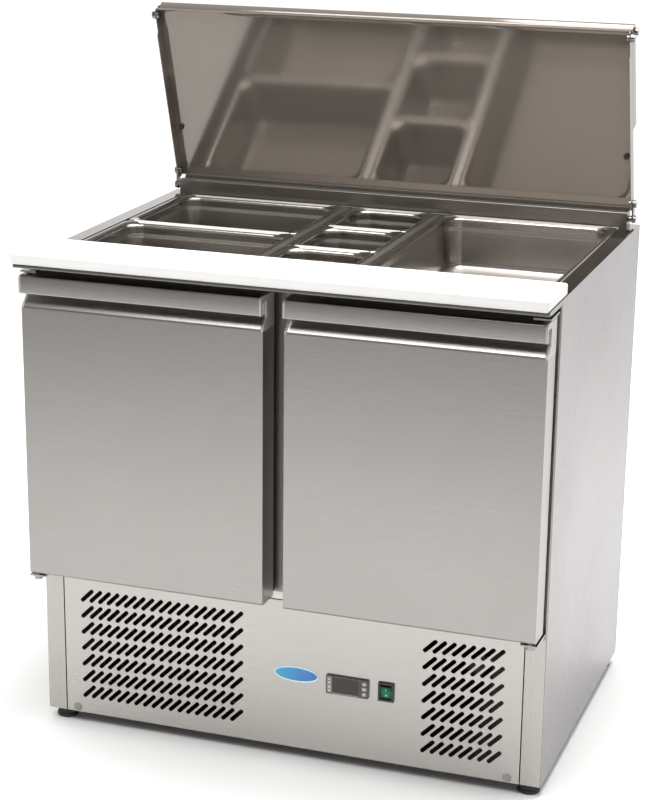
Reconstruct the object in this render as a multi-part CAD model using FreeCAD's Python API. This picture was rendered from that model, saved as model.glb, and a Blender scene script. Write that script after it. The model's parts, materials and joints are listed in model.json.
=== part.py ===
import FreeCAD, Part
import math
import os
from FreeCAD import Vector as V

# Refrigerated sandwich prep table: two-door cold cabinet, pan well with lift-out pans,
# cutting board along the front and a two-section folding lid, shown with the lid open.
# Millimetres.  +X right, -Y front, +Z up.  Origin on the floor, under the middle.

# ---------------------------------------------------------------- driving sizes
WIDTH = 900.0
DEPTH = 700.0
BODY_TOP = 850.0
BODY_BOTTOM = 20.0
SHEET = 1.2                  # outer steel sheet
THIN = 1.0                   # liner, door skins and pans
GAP = 0.3                    # rest gap between pieces that move apart

HALF = WIDTH / 2
BACK = DEPTH / 2
BOARD_FRONT = -DEPTH / 2
BOARD_REAR = -222.0
BOARD_THICK = 20.0

CASE_FRONT = -257.0          # front plane of the case, behind the doors
FLANGE = 34.5                # front return of each side panel
CASE_IN = HALF - SHEET
FRAME_FRONT = -340.0         # front lip of the top frame
FRAME_LIP = 8.0

DECK = 290.0                 # ceiling of the machine compartment
FLOOR = 335.0                # floor of the cold cavity
HEADER = 800.0               # top of the door openings
MULLION = 45.0               # half width of the post between the doors
LINER = 416.0                # half width of the cavity
LINER_REAR = 306.0
LINER_TOP = 846.0
FRAME_BACK = -214.0          # rear of the door frame's hollow members

# Pan well
WELL_X = 422.0
WELL_FRONT = BOARD_REAR
WELL_REAR = 312.0
LEDGE = 10.0
LEDGE_TOP = 847.2
LEDGE_DROP = 832.0
PAN_RIM_TOP = BODY_TOP + 0.5
PAN_DEPTH = 100.0
RIM_WIDTH = 13.0
RIM_DROP = 3.0
FULL_LONG = 530.0
FULL_WIDE = 325.0
HALF_LONG = 265.0
SIXTH_LONG = 176.0
SIXTH_WIDE = 162.0
PAN_Y = (WELL_FRONT + WELL_REAR) / 2
SIDE_COLUMN_X = 257.5
BAR_X = 88.0
BAR_WIDE = 30.0
BAR_BEAD = 12.0

# Doors
DOOR_IN = 18.0
DOOR_OUT = 446.0
DOOR_BOTTOM = 300.0
DOOR_TOP = 828.0
DOOR_FACE = -322.0
DOOR_BACK = -270.0
LINER_SKIN = 2.0
LIP_FRONT = -330.0
LIP_BOTTOM = 797.0
GRIP_TOP = 818.0
GRIP_BACK = -304.0
GRIP_FLOOR = 789.0
FACE_TOP = 773.0
CAP = 4.0
GASKET = 14.0
HINGE_X = 436.0
HINGE_Y = -310.0
PIN_R = 4.0
RUNNING = 0.05               # radial clearance of a pin in its hole

# Lid
RISER_X = 432.0
RISER_FRONT = 320.5
RISER_TOP = 876.0
LID_X = 438.0
LID_TOP = RISER_TOP
LINK = 27.0
LINK_X = 439.0
LINK_THICK = 2.5
BOLT_UP = 13.0               # every lid bolt sits this far under the skin
PIVOT_A = (333.0, LID_TOP - BOLT_UP)
REAR_SECTION = 332.0         # bolt B to the folding edge
FRONT_SECTION = 193.0
FLANGE_BOTTOM = BODY_TOP + 1.0
OPEN_ANGLE = 72.0

# Machine compartment front
PANEL_X = 413.5
SLOT_LONG = 32.5
SLOT_WIDE = 7.6
SLOT_PITCH_X = 16.5
SLOT_PITCH_Z = 30.4
SLOT_ROWS = 7
SLOT_ROW_1 = 62.0
CAP_SPOT = (393.0, 29.0)
BADGE = (20.0, 157.0)
THERMOSTAT = (112.0, 149.5)
ROCKER = (180.5, 150.0)

FOOT_X = 425.0
FOOT_FRONT = -232.0
FOOT_REAR = 325.0

CONDENSER_FAN = (-240.0, -142.0, 145.0)
EVAPORATOR_FAN = (0.0, 246.0, 460.0)
COMPRESSOR = (170.0, 120.0)
PIPE_X = 120.0               # refrigerant lines rise here, inside the rear insulation
PIPE_Y = 327.0
PIPE_Z = 600.0
GLAND = (-330.0, 90.0)


# ---------------------------------------------------------------- shape helpers
def box(x0, x1, y0, y1, z0, z1):
    return Part.makeBox(x1 - x0, y1 - y0, z1 - z0, V(x0, y0, z0))


def rod(radius, start, end):
    run = end - start
    return Part.makeCylinder(radius, run.Length, start, run)


def fuse(shapes):
    return shapes[0].multiFuse(shapes[1:]).removeSplitter()


def mirror_x(shape):
    return shape.mirror(V(0, 0, 0), V(1, 0, 0))


def both_sides(shape):
    return [mirror_x(shape), shape]


def rounded_wire(corners):
    """Closed wire through (point, radius) corners, each corner rounded with a tangent arc."""
    edges = []
    spans = []
    count = len(corners)
    for i, (point, radius) in enumerate(corners):
        before = (corners[i - 1][0] - point).normalize()
        after = (corners[(i + 1) % count][0] - point).normalize()
        if radius <= 0:
            spans.append((point, None, point))
            continue
        half_angle = before.getAngle(after) / 2
        reach = radius / math.tan(half_angle)
        centre = point + (before + after).normalize() * (radius / math.sin(half_angle))
        middle = centre + (point - centre).normalize() * radius
        spans.append((point + before * reach, middle, point + after * reach))
    for i, (start, middle, end) in enumerate(spans):
        if middle is not None:
            edges.append(Part.Arc(start, middle, end).toShape())
        following = spans[(i + 1) % count][0]
        if (following - end).Length > 1e-6:
            edges.append(Part.LineSegment(end, following).toShape())
    return Part.Wire(edges)


def prism_x(outline, x0, x1):
    """Outline of (y, z, radius) corners, extruded along X."""
    corners = [(V(x0, y, z), radius) for y, z, radius in outline]
    return Part.Face(rounded_wire(corners)).extrude(V(x1 - x0, 0, 0))


def plan_wire(x0, x1, y0, y1, z, radius):
    spots = [(x0, y0), (x1, y0), (x1, y1), (x0, y1)]
    return rounded_wire([(V(x, y, z), radius) for x, y in spots])


def rounded_block(x0, x1, y0, y1, z0, z1, radius):
    return Part.Face(plan_wire(x0, x1, y0, y1, z0, radius)).extrude(V(0, 0, z1 - z0))


def plaque(cx, cz, wide, tall, y_front, y_back, radius):
    """Rounded plate standing upright, facing -Y."""
    spots = [(-1, -1), (1, -1), (1, 1), (-1, 1)]
    corners = [(V(cx + sx * wide / 2, y_front, cz + sz * tall / 2), radius) for sx, sz in spots]
    return Part.Face(rounded_wire(corners)).extrude(V(0, y_back - y_front, 0))


def tube_path(points, radius, bend):
    """Round bar along straight runs joined by tangent arcs."""
    edges = []
    here = points[0]
    for i in range(1, len(points) - 1):
        corner = points[i]
        before = (points[i - 1] - corner).normalize()
        after = (points[i + 1] - corner).normalize()
        half_angle = before.getAngle(after) / 2
        reach = bend / math.tan(half_angle)
        centre = corner + (before + after).normalize() * (bend / math.sin(half_angle))
        start = corner + before * reach
        end = corner + after * reach
        middle = centre + (corner - centre).normalize() * bend
        edges.append(Part.LineSegment(here, start).toShape())
        edges.append(Part.Arc(start, middle, end).toShape())
        here = end
    edges.append(Part.LineSegment(here, points[-1]).toShape())
    circle = Part.Wire(Part.makeCircle(radius, points[0], points[1] - points[0]))
    return Part.Wire(edges).makePipeShell([circle], True, True)


def save(name, solids):
    shape = solids[0] if len(solids) == 1 else Part.makeCompound(solids)
    for solid in shape.Solids:
        if not solid.isValid() or solid.Volume <= 0:
            print("bad solid in", name)
    shape.exportStep("parts/" + name + ".step")
    print(name, len(shape.Solids), round(shape.Volume / 1000, 1), "cm3")


# ---------------------------------------------------------------- case
def side_panel():
    """Right side panel with its front, bottom and rear returns."""
    wall = box(CASE_IN, HALF, CASE_FRONT, BACK - SHEET, BODY_BOTTOM, BODY_TOP - SHEET)
    front = box(HALF - FLANGE, HALF, CASE_FRONT, CASE_FRONT + SHEET, BODY_BOTTOM, BODY_TOP - SHEET)
    bottom = box(HALF - 20, HALF, CASE_FRONT, BACK - SHEET, BODY_BOTTOM, BODY_BOTTOM + SHEET)
    rear = box(HALF - 20, HALF, BACK - 2 * SHEET, BACK - SHEET, BODY_BOTTOM, BODY_TOP - SHEET)
    edge = HALF - FLANGE
    jamb = box(edge, edge + SHEET, CASE_FRONT, CASE_FRONT + 14, BODY_BOTTOM + 4, DECK - 2)
    return fuse([wall, front, bottom, rear, jamb])


def back_panel():
    """Rear sheet with louvre slots over the machine compartment and the cable hole."""
    panel = box(-HALF, HALF, BACK - SHEET, BACK, BODY_BOTTOM, BODY_TOP - SHEET)
    slots = []
    for column in (-180, 20, 220):
        for row in range(9):
            z = 70 + 22 * row
            slots.append(plaque(column, z, 150, 7, BACK - 5, BACK + 5, 3.4))
    hole = rod(10, V(GLAND[0], BACK - 5, GLAND[1]), V(GLAND[0], BACK + 5, GLAND[1]))
    return panel.cut(Part.makeCompound(slots)).cut(hole)


def base_pan():
    """Floor tray of the machine compartment with the four foot nuts."""
    z0 = BODY_BOTTOM + SHEET
    y0 = CASE_FRONT + SHEET
    y1 = BACK - 2 * SHEET
    tray = box(-CASE_IN, CASE_IN, y0, y1, z0, z0 + SHEET)
    rear_edge = box(-425, 425, y1 - SHEET, y1, z0, z0 + 18)
    nuts = []
    holes = []
    for sx in (-1, 1):
        for y in (FOOT_FRONT, FOOT_REAR - 2):
            spot = V(sx * FOOT_X, y, z0)
            nuts.append(rod(9, spot, spot + V(0, 0, 10)))
            holes.append(rod(PIN_R + RUNNING, spot - V(0, 0, 5), spot + V(0, 0, 20)))
    return fuse([tray, rear_edge] + nuts).cut(Part.makeCompound(holes))


def foot(side, y):
    """Levelling foot: rubber-soled pad on a threaded stud."""
    spot = V(side * FOOT_X, y, 0)
    sole = rod(19, spot, spot + V(0, 0, 7))
    body = Part.makeCone(18.2, 15, BODY_BOTTOM - GAP - 7, spot + V(0, 0, 7))
    stud = rod(PIN_R, spot + V(0, 0, 7), spot + V(0, 0, 60))
    return fuse([sole, body, stud])


def top_frame():
    """Worktop sheet with the stepped pan well and the lip over the doors."""
    z0 = BODY_TOP - SHEET
    plate = box(-HALF, HALF, FRAME_FRONT, BACK, z0, BODY_TOP)
    lip_low = BODY_TOP - FRAME_LIP
    lip = box(-HALF, HALF, FRAME_FRONT, FRAME_FRONT + SHEET, lip_low, BODY_TOP)
    hem = box(-HALF, HALF, FRAME_FRONT, FRAME_FRONT + 12, lip_low, lip_low + SHEET)
    side_lip = box(CASE_IN, HALF, FRAME_FRONT, CASE_FRONT, lip_low, BODY_TOP)
    well = box(-WELL_X, WELL_X, WELL_FRONT, WELL_REAR, 0, 2 * BODY_TOP)
    z_ledge = LEDGE_TOP - SHEET
    rim = box(-WELL_X - SHEET, WELL_X + SHEET, WELL_FRONT - SHEET, WELL_REAR + SHEET, z_ledge, BODY_TOP)
    ledge_in = box(-WELL_X + LEDGE, WELL_X - LEDGE, WELL_FRONT + LEDGE, WELL_REAR - LEDGE, 0, 2 * BODY_TOP)
    ledge = box(-WELL_X, WELL_X, WELL_FRONT, WELL_REAR, z_ledge, LEDGE_TOP).cut(ledge_in)
    x_drop = WELL_X - LEDGE + SHEET
    drop = box(-x_drop, x_drop, WELL_FRONT + LEDGE - SHEET, WELL_REAR - LEDGE + SHEET, LEDGE_DROP, z_ledge)
    frame = fuse([plate, lip, hem, side_lip, mirror_x(side_lip)]).cut(well)
    return fuse([frame, rim.cut(well), ledge, drop.cut(ledge_in)])


def riser_box():
    """Raised rear rail that carries the lid's lower bolts in its ends."""
    outer = box(-RISER_X, RISER_X, RISER_FRONT, BACK, BODY_TOP, RISER_TOP)
    inner = box(-RISER_X + SHEET, RISER_X - SHEET, RISER_FRONT + SHEET, BACK - SHEET,
                BODY_TOP - 1, RISER_TOP - SHEET)
    bore = rod(PIN_R + RUNNING, V(-HALF, *PIVOT_A), V(HALF, *PIVOT_A))
    return outer.cut(inner).cut(bore)


def door_frame():
    """Header, mullion and sill around the two door openings, with the deck behind the sill."""
    y0 = CASE_FRONT
    x = HALF - FLANGE
    outer = box(-x, x, y0, FRAME_BACK, HEADER, LINER_TOP)
    outer_core = box(-x + SHEET, x - SHEET, y0 + SHEET, FRAME_BACK - SHEET, HEADER + SHEET, LINER_TOP + 1)
    brow = box(-x, x, y0, y0 + SHEET, HEADER, BODY_TOP - SHEET)
    post = box(-MULLION, MULLION, y0, FRAME_BACK, FLOOR, HEADER)
    post_core = box(-MULLION + SHEET, MULLION - SHEET, y0 + SHEET, FRAME_BACK - SHEET, FLOOR - 1, HEADER - 2)
    sill = box(-x, x, y0, y0 + SHEET, DECK, FLOOR)
    deck = box(-CASE_IN, CASE_IN, y0 + SHEET, BACK - 2 * SHEET, DECK, DECK + SHEET)
    pipe_hole = box(PIPE_X - 14, PIPE_X + 14, PIPE_Y - 8, PIPE_Y + 8, DECK - 5, DECK + 5)
    return fuse([outer.cut(outer_core), brow, post.cut(post_core), sill, deck]).cut(pipe_hole)


def inner_liner():
    """Cold cavity lining, open at the front and at the top."""
    outer = box(-LINER - THIN, LINER + THIN, CASE_FRONT + SHEET, LINER_REAR + THIN, FLOOR - THIN, LINER_TOP)
    inner = box(-LINER, LINER, CASE_FRONT, LINER_REAR, FLOOR, LINER_TOP + 1)
    pipe_hole = rod(14, V(PIPE_X, LINER_REAR - 5, PIPE_Z), V(PIPE_X, LINER_REAR + 5, PIPE_Z))
    return outer.cut(inner).cut(pipe_hole)


def cabinet_foam():
    """Foamed insulation between the case and the liner, and the core of the header."""
    y0 = CASE_FRONT + SHEET
    block = box(-CASE_IN, CASE_IN, y0, BACK - 2 * SHEET, DECK + SHEET, LINER_TOP)
    room = box(-LINER - THIN, LINER + THIN, y0 - 5, LINER_REAR + THIN, FLOOR - THIN, LINER_TOP + 5)
    pipes = box(PIPE_X - 20, PIPE_X + 20, LINER_REAR, LINER_REAR + 34, DECK, PIPE_Z + 20)
    x = HALF - FLANGE - SHEET
    core = box(-x, x, y0, FRAME_BACK - SHEET, HEADER + SHEET, LINER_TOP)
    return [block.cut(room).cut(pipes), core]


# ---------------------------------------------------------------- machine compartment front
def vent_slot(x, z):
    slot = plaque(0, 0, SLOT_LONG, SLOT_WIDE, CASE_FRONT - 5, CASE_FRONT + 5, SLOT_WIDE / 2 - 0.05)
    slot.rotate(V(0, 0, 0), V(0, 1, 0), -45)
    slot.translate(V(x, 0, z))
    return slot


def vent_panel():
    """Removable front grille: two fields of slanted slots and the control cut-outs."""
    y0 = CASE_FRONT
    top = DECK - 2
    face = box(-PANEL_X, PANEL_X, y0, y0 + SHEET, BODY_BOTTOM, top)
    side = box(PANEL_X - SHEET, PANEL_X, y0, y0 + 14, BODY_BOTTOM + 4, top)
    rail = box(-PANEL_X, PANEL_X, y0, y0 + 14, top - SHEET, top)
    panel = fuse([face, side, mirror_x(side), rail])
    slots = []
    for row in range(SLOT_ROWS):
        z = SLOT_ROW_1 + row * SLOT_PITCH_Z
        for column in range(18):
            slots.append(vent_slot(-370 + column * SLOT_PITCH_X, z))
        for column in range(8):
            slots.append(vent_slot(370 - column * SLOT_PITCH_X, z))
    tx, tz = THERMOSTAT
    rx, rz = ROCKER
    slots.append(plaque(tx, tz, 70.0, 28.0, y0 - 5, y0 + 5, 0))
    slots.append(plaque(rx, rz, 22.0, 29.0, y0 - 5, y0 + 5, 0))
    for sx in (-1, 1):
        x = sx * CAP_SPOT[0]
        slots.append(rod(4, V(x, y0 - 5, CAP_SPOT[1]), V(x, y0 + 5, CAP_SPOT[1])))
    return panel.cut(Part.makeCompound(slots))


def panel_screw_caps():
    """Round plastic caps over the grille's two fixing screws."""
    caps = []
    for sx in (-1, 1):
        spot = V(sx * CAP_SPOT[0], CASE_FRONT, CAP_SPOT[1])
        head = Part.makeCone(8, 6, 2.0, spot, V(0, -1, 0))
        caps.append(fuse([head, rod(4, spot, spot + V(0, 12, 0))]))
    return caps


KEY_X = 30.5
KEY_PITCH = 9.6
KEY_WIDE = 9.0
KEY_TALL = 7.4
BEZEL_FRONT = CASE_FRONT - 4.0


def key(row):
    """One thermostat key, standing 0.6 proud of the bezel."""
    z = THERMOSTAT[1] + row * KEY_PITCH
    x = THERMOSTAT[0] + KEY_X
    return plaque(x, z, KEY_WIDE, KEY_TALL, BEZEL_FRONT - 0.6, BEZEL_FRONT + 2.4, 1.5)


def thermostat_housing():
    x, z = THERMOSTAT
    bezel = plaque(x, z, 76, 34, BEZEL_FRONT, CASE_FRONT, 2.5)
    body = box(x - 35, x + 35, CASE_FRONT, CASE_FRONT + 55, z - 14, z + 14)
    window = plaque(x - 3, z, 46, 26, BEZEL_FRONT - 1, BEZEL_FRONT + 1.6, 1)
    pockets = [window]
    for row in (-1, 0, 1):
        spot = z + row * KEY_PITCH
        wide = KEY_WIDE + 2 * GAP
        tall = KEY_TALL + 2 * GAP
        pockets.append(plaque(x + KEY_X, spot, wide, tall, BEZEL_FRONT - 1, BEZEL_FRONT + 3.5, 1.5))
    return fuse([bezel, body]).cut(Part.makeCompound(pockets))


def thermostat_window():
    x, z = THERMOSTAT
    return plaque(x - 3, z, 46, 26, BEZEL_FRONT + 0.2, BEZEL_FRONT + 1.6, 1)


ROCKER_Y = CASE_FRONT + 3.0
ROCKER_R = 12.9
ROCKER_WIDE = 19.6
ROCKER_TILT = 10.0


def rocker_frame():
    x, z = ROCKER
    bezel = plaque(x, z, 28, 34, CASE_FRONT - 3.5, CASE_FRONT, 1.5)
    body = box(x - 11, x + 11, CASE_FRONT, CASE_FRONT + 24, z - 14.5, z + 14.5)
    reach = ROCKER_R + 0.35
    room = box(x - 10.1, x + 10.1, CASE_FRONT - 5, CASE_FRONT + 20, z - reach, z + reach)
    pivot = rod(1.5 + RUNNING, V(x - 12, ROCKER_Y, z), V(x + 12, ROCKER_Y, z))
    return fuse([bezel, body]).cut(room).cut(pivot)


def rocker_button():
    """Shallow V-shaped rocker on two stub pins, lower end pressed in."""
    x, z = ROCKER
    half = ROCKER_WIDE / 2
    front = ROCKER_Y - 6.3
    outline = [(ROCKER_Y + 4, z - 8, 1), (front, z - 11.2, 0.8), (ROCKER_Y - 4.6, z, 0),
               (front, z + 11.2, 0.8), (ROCKER_Y + 4, z + 8, 1)]
    paddle = prism_x(outline, x - half, x + half)
    pins = rod(1.5, V(x - 10.9, ROCKER_Y, z), V(x + 10.9, ROCKER_Y, z))
    rocker = fuse([paddle, pins])
    rocker.rotate(V(x, ROCKER_Y, z), V(1, 0, 0), ROCKER_TILT)
    return rocker


def badge_plate():
    """Plain domed oval plate."""
    ellipse = Part.Ellipse(V(BADGE[0], CASE_FRONT, BADGE[1]), 40, 14)
    oval = Part.Wire(ellipse.toShape())
    oval.rotate(V(BADGE[0], CASE_FRONT, BADGE[1]), V(1, 0, 0), 90)
    return Part.Face(oval).extrude(V(0, -1.4, 0))


# ---------------------------------------------------------------- worktop, pans
def cutting_board():
    board = box(-HALF, HALF, BOARD_FRONT, BOARD_REAR, BODY_TOP + GAP, BODY_TOP + BOARD_THICK)
    top = BODY_TOP + BOARD_THICK
    upper = [e for e in board.Edges if abs(e.CenterOfMass.z - top) < 0.01]
    return board.makeFillet(2.5, upper)


def pan(cx, cy, wide, deep):
    """Steel food pan: rolled rim, stacking shoulder, tapered walls and a rounded bottom."""
    top = PAN_RIM_TOP
    rim_r = 14.0
    x0, x1 = cx - wide / 2, cx + wide / 2
    y0, y1 = cy - deep / 2, cy + deep / 2
    mouth_r = 30.0
    # (height under the rim, inset from the mouth)
    steps = [(0, 0), (21, 0), (23, 3), (PAN_DEPTH - 14, 8), (PAN_DEPTH - 6, 11),
             (PAN_DEPTH - 1.5, 17), (PAN_DEPTH, 24)]

    def tub(thickness):
        wires = []
        for down, inset in steps:
            grow = thickness - RIM_WIDTH - inset
            z = top - down - (thickness if down else 0)
            radius = max(mouth_r - inset + thickness, 6)
            wires.append(plan_wire(x0 - grow, x1 + grow, y0 - grow, y1 + grow, z, radius))
        return Part.makeLoft(wires, True, True)

    rim = rounded_block(x0, x1, y0, y1, top - RIM_DROP, top, rim_r)
    under = rounded_block(x0 + THIN, x1 - THIN, y0 + THIN, y1 - THIN, top - RIM_DROP - 1, top - THIN, rim_r - THIN)
    return fuse([rim.cut(under), tub(THIN)]).cut(tub(0)).cut(box(x0, x1, y0, y1, top, top + 5))


def pan_bars():
    """Two inverted channels that carry the inner rims of the pans."""
    y0, y1 = WELL_FRONT + LEDGE, WELL_REAR - LEDGE
    x0, x1 = BAR_X - BAR_WIDE / 2, BAR_X + BAR_WIDE / 2
    outer = box(x0, x1, y0, y1, LEDGE_DROP, LEDGE_TOP)
    inner = box(x0 + SHEET, x1 - SHEET, y0 - 1, y1 + 1, LEDGE_DROP - 1, LEDGE_TOP - SHEET)
    bead = box(BAR_X - BAR_BEAD / 2, BAR_X + BAR_BEAD / 2, y0, y1, LEDGE_TOP, LEDGE_TOP + 2.4)
    bar = fuse([outer.cut(inner), bead])
    return both_sides(bar)


# ---------------------------------------------------------------- folding lid
def opened(shape):
    """Carry a shape of the rear lid section from the closed place to the open one."""
    moved = shape.copy()
    moved.rotate(V(0, *CLOSED_B), V(-1, 0, 0), OPEN_ANGLE)
    moved.translate(V(0, *OPEN_B) - V(0, *CLOSED_B))
    return moved


def folded(shape):
    """Carry a shape of the front lid section from the closed place to the folded, open one."""
    moved = shape.copy()
    moved.rotate(V(0, *CLOSED_C), V(-1, 0, 0), 180)
    moved.translate(V(0, *FOLDED_C) - V(0, *CLOSED_C))
    return opened(moved)


CLOSED_B = (PIVOT_A[0] - LINK, PIVOT_A[1])
OPEN_B = (PIVOT_A[0], PIVOT_A[1] + LINK)
CLOSED_FOLD = (CLOSED_B[0] - REAR_SECTION + BOLT_UP, CLOSED_B[1])
CLOSED_C = (CLOSED_FOLD[0] - LINK, CLOSED_FOLD[1])
FOLDED_C = (CLOSED_FOLD[0], CLOSED_FOLD[1] + LINK)
LID_REAR_EDGE = CLOSED_B[0] + BOLT_UP - 0.6
LID_FRONT_EDGE = CLOSED_C[0] + BOLT_UP - FRONT_SECTION


def lid_skin(y_flat, y_bolt):
    """Flat sheet from y_flat to over the bolt, then a quarter roll of the folding edge."""
    toward = 1 if y_bolt > y_flat else -1
    z = PIVOT_A[1]
    outer_r = BOLT_UP
    inner_r = BOLT_UP - SHEET
    slant = math.sqrt(0.5)
    points = {}
    for name, r in (("out", outer_r), ("in", inner_r)):
        points[name] = [V(-LID_X, y_bolt, z + r),
                        V(-LID_X, y_bolt + toward * r * slant, z + r * slant),
                        V(-LID_X, y_bolt + toward * r, z)]
    low_out = V(-LID_X, y_bolt + toward * outer_r, z - 2)
    low_in = V(-LID_X, y_bolt + toward * inner_r, z - 2)
    flat_out = V(-LID_X, y_flat, z + outer_r)
    flat_in = V(-LID_X, y_flat, z + inner_r)
    out, inn = points["out"], points["in"]
    edges = [Part.LineSegment(flat_out, out[0]), Part.Arc(*out), Part.LineSegment(out[2], low_out),
             Part.LineSegment(low_out, low_in), Part.LineSegment(low_in, inn[2]),
             Part.Arc(inn[2], inn[1], inn[0]), Part.LineSegment(inn[0], flat_in),
             Part.LineSegment(flat_in, flat_out)]
    wire = Part.Wire([edge.toShape() for edge in edges])
    return Part.Face(wire).extrude(V(2 * LID_X, 0, 0))


def bolt_hole(y, z):
    return rod(PIN_R + RUNNING, V(-HALF, y, z), V(HALF, y, z))


def lid_rear_section():
    """Main lid section: flat inner face, side flanges, rolled folding edge."""
    skin = lid_skin(LID_REAR_EDGE, CLOSED_FOLD[0])
    top = LID_TOP
    ear = PIVOT_A[1] - 7
    step = CLOSED_FOLD[0] + 36
    outline = [(LID_REAR_EDGE, top, 0), (LID_REAR_EDGE, FLANGE_BOTTOM, 11.5), (step, FLANGE_BOTTOM, 3),
               (step - 6, ear, 3), (CLOSED_FOLD[0] - BOLT_UP, ear, 6), (CLOSED_FOLD[0] - BOLT_UP, top, BOLT_UP)]
    flange = prism_x(outline, LID_X - SHEET, LID_X)
    hem = box(-LID_X, LID_X, LID_REAR_EDGE - SHEET, LID_REAR_EDGE, top - 4, top)
    shape = fuse([skin, flange, mirror_x(flange), hem])
    return opened(shape.cut(bolt_hole(*CLOSED_B)).cut(bolt_hole(*CLOSED_FOLD)))


def lid_front_section():
    """Second lid section, folded back behind the first."""
    skin = lid_skin(LID_FRONT_EDGE, CLOSED_C[0])
    end = CLOSED_C[0] + BOLT_UP
    outline = [(LID_FRONT_EDGE, LID_TOP, 0), (LID_FRONT_EDGE, FLANGE_BOTTOM, 0), (end, FLANGE_BOTTOM, 11.5),
               (end, LID_TOP, BOLT_UP)]
    flange = prism_x(outline, LID_X - SHEET, LID_X)
    front = box(-LID_X, LID_X, LID_FRONT_EDGE, LID_FRONT_EDGE + SHEET, FLANGE_BOTTOM, LID_TOP)
    shape = fuse([skin, flange, mirror_x(flange), front])
    return folded(shape.cut(bolt_hole(*CLOSED_C)))


def link(first, second, first_inner):
    """Link plate with two shoulder bolts; first_inner is where the first bolt's nut starts."""
    r = 7.5
    x0, x1 = LINK_X, LINK_X + LINK_THICK
    a, b = V(x0, *first), V(x0, *second)
    along = (b - a).normalize()
    across = V(0, -along.z, along.y)
    edges = [Part.Arc(a + across * r, a - along * r, a - across * r),
             Part.LineSegment(a - across * r, b - across * r),
             Part.Arc(b - across * r, b + along * r, b + across * r),
             Part.LineSegment(b + across * r, a + across * r)]
    plate = Part.Face(Part.Wire([edge.toShape() for edge in edges])).extrude(V(LINK_THICK, 0, 0))
    pieces = [plate]
    for (y, z), nut_x in ((first, first_inner), (second, LID_X - SHEET - 4.4)):
        pieces.append(rod(PIN_R, V(nut_x, y, z), V(x1, y, z)))
        pieces.append(rod(6.5, V(nut_x, y, z), V(nut_x + 4, y, z)))
        pieces.append(rod(6.5, V(x1, y, z), V(x1 + 4, y, z)))
    wall = first_inner + 4.4 + SHEET
    pieces.append(rod(5.5, V(wall + 0.4, *first), V(x0, *first)))
    return fuse(pieces)


def fold_places():
    """Open places of the fold bolt on the rear section and of the bolt on the front section."""
    angle = math.radians(OPEN_ANGLE)
    forward = (-math.cos(angle), math.sin(angle))
    up = (math.sin(angle), math.cos(angle))
    reach = REAR_SECTION - BOLT_UP
    fold = (OPEN_B[0] + reach * forward[0], OPEN_B[1] + reach * forward[1])
    c = (fold[0] + LINK * up[0], fold[1] + LINK * up[1])
    return fold, c


def lid_bumpers():
    """Rubber buttons inside the lid, near both side flanges."""
    bumpers = []
    for sx in (-1, 1):
        y = CLOSED_B[0] - 88
        spot = V(sx * (LID_X - 12), y, LID_TOP - SHEET)
        button = Part.makeCone(5.5, 4.5, 5, spot, V(0, 0, -1))
        bumpers.append(opened(button))
    return bumpers


# ---------------------------------------------------------------- doors (right-hand door)
def door_outline(inset):
    """Side view of the door: flat face, finger recess and rolled lip along the top."""
    t = inset
    return [(DOOR_BACK + 5 * t, DOOR_BOTTOM + t, 0), (DOOR_FACE + t, DOOR_BOTTOM + t, 6 - t),
            (DOOR_FACE + t, FACE_TOP - 0.4 * t, 3), (GRIP_BACK + t, GRIP_FLOOR - 0.4 * t, 3),
            (GRIP_BACK + t, GRIP_TOP + t, 4), (LIP_FRONT + 6 - t, GRIP_TOP + t, 3),
            (LIP_FRONT + 6 - t, LIP_BOTTOM + t, 2.9 - 2.2 * t), (LIP_FRONT + t, LIP_BOTTOM + t, 2.9 - 2.2 * t),
            (LIP_FRONT + t, DOOR_TOP - t, 8 - t), (DOOR_BACK + 5 * t, DOOR_TOP - t, 0)]


def handle_zone(x0, x1):
    return box(x0, x1, LIP_FRONT - 5, DOOR_BACK + 5, FACE_TOP - 3, DOOR_TOP + 5)


def hinge_blocks():
    """Moulded bush blocks in the top and bottom outer corners."""
    low = box(HINGE_X - 8, DOOR_OUT - THIN, HINGE_Y - 6, HINGE_Y + 12, DOOR_BOTTOM + THIN, DOOR_BOTTOM + 18)
    high = box(HINGE_X - 8, DOOR_OUT - CAP, HINGE_Y + 7, HINGE_Y + 30, DOOR_TOP - 24, DOOR_TOP - THIN)
    high = high.fuse(box(HINGE_X - 8, DOOR_OUT - CAP, HINGE_Y - 10, HINGE_Y + 7, GRIP_TOP + THIN, DOOR_TOP - THIN))
    return low, high


def hinge_bores(clearance):
    low = V(HINGE_X, HINGE_Y, DOOR_BOTTOM - 5)
    high = V(HINGE_X, HINGE_Y, DOOR_TOP + 5)
    radius = PIN_R + clearance
    return rod(radius, low, low + V(0, 0, 21)).fuse(rod(radius, high - V(0, 0, 13.5), high))


def door_shell():
    """Outer steel skin, folded round the edges, with the handle profile rolled in its top."""
    outer = prism_x(door_outline(0), DOOR_IN, DOOR_OUT)
    inner = prism_x(door_outline(THIN), DOOR_IN + THIN, DOOR_OUT - THIN)
    shell = outer.cut(inner)
    ends = [handle_zone(DOOR_IN - 1, DOOR_IN + CAP), handle_zone(DOOR_OUT - CAP, DOOR_OUT + 1)]
    return shell.cut(ends[0]).cut(ends[1]).cut(hinge_bores(0.4))


def door_end_caps():
    """Moulded caps on both ends of the handle profile, and the two hinge bushes."""
    body = prism_x(door_outline(0), DOOR_IN, DOOR_OUT)
    inner_cap = body.common(handle_zone(DOOR_IN, DOOR_IN + CAP))
    outer_cap = body.common(handle_zone(DOOR_OUT - CAP, DOOR_OUT))
    low, high = hinge_blocks()
    top = outer_cap.fuse(high).removeSplitter().cut(hinge_bores(RUNNING))
    return [inner_cap, top, low.cut(hinge_bores(RUNNING))]


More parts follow.
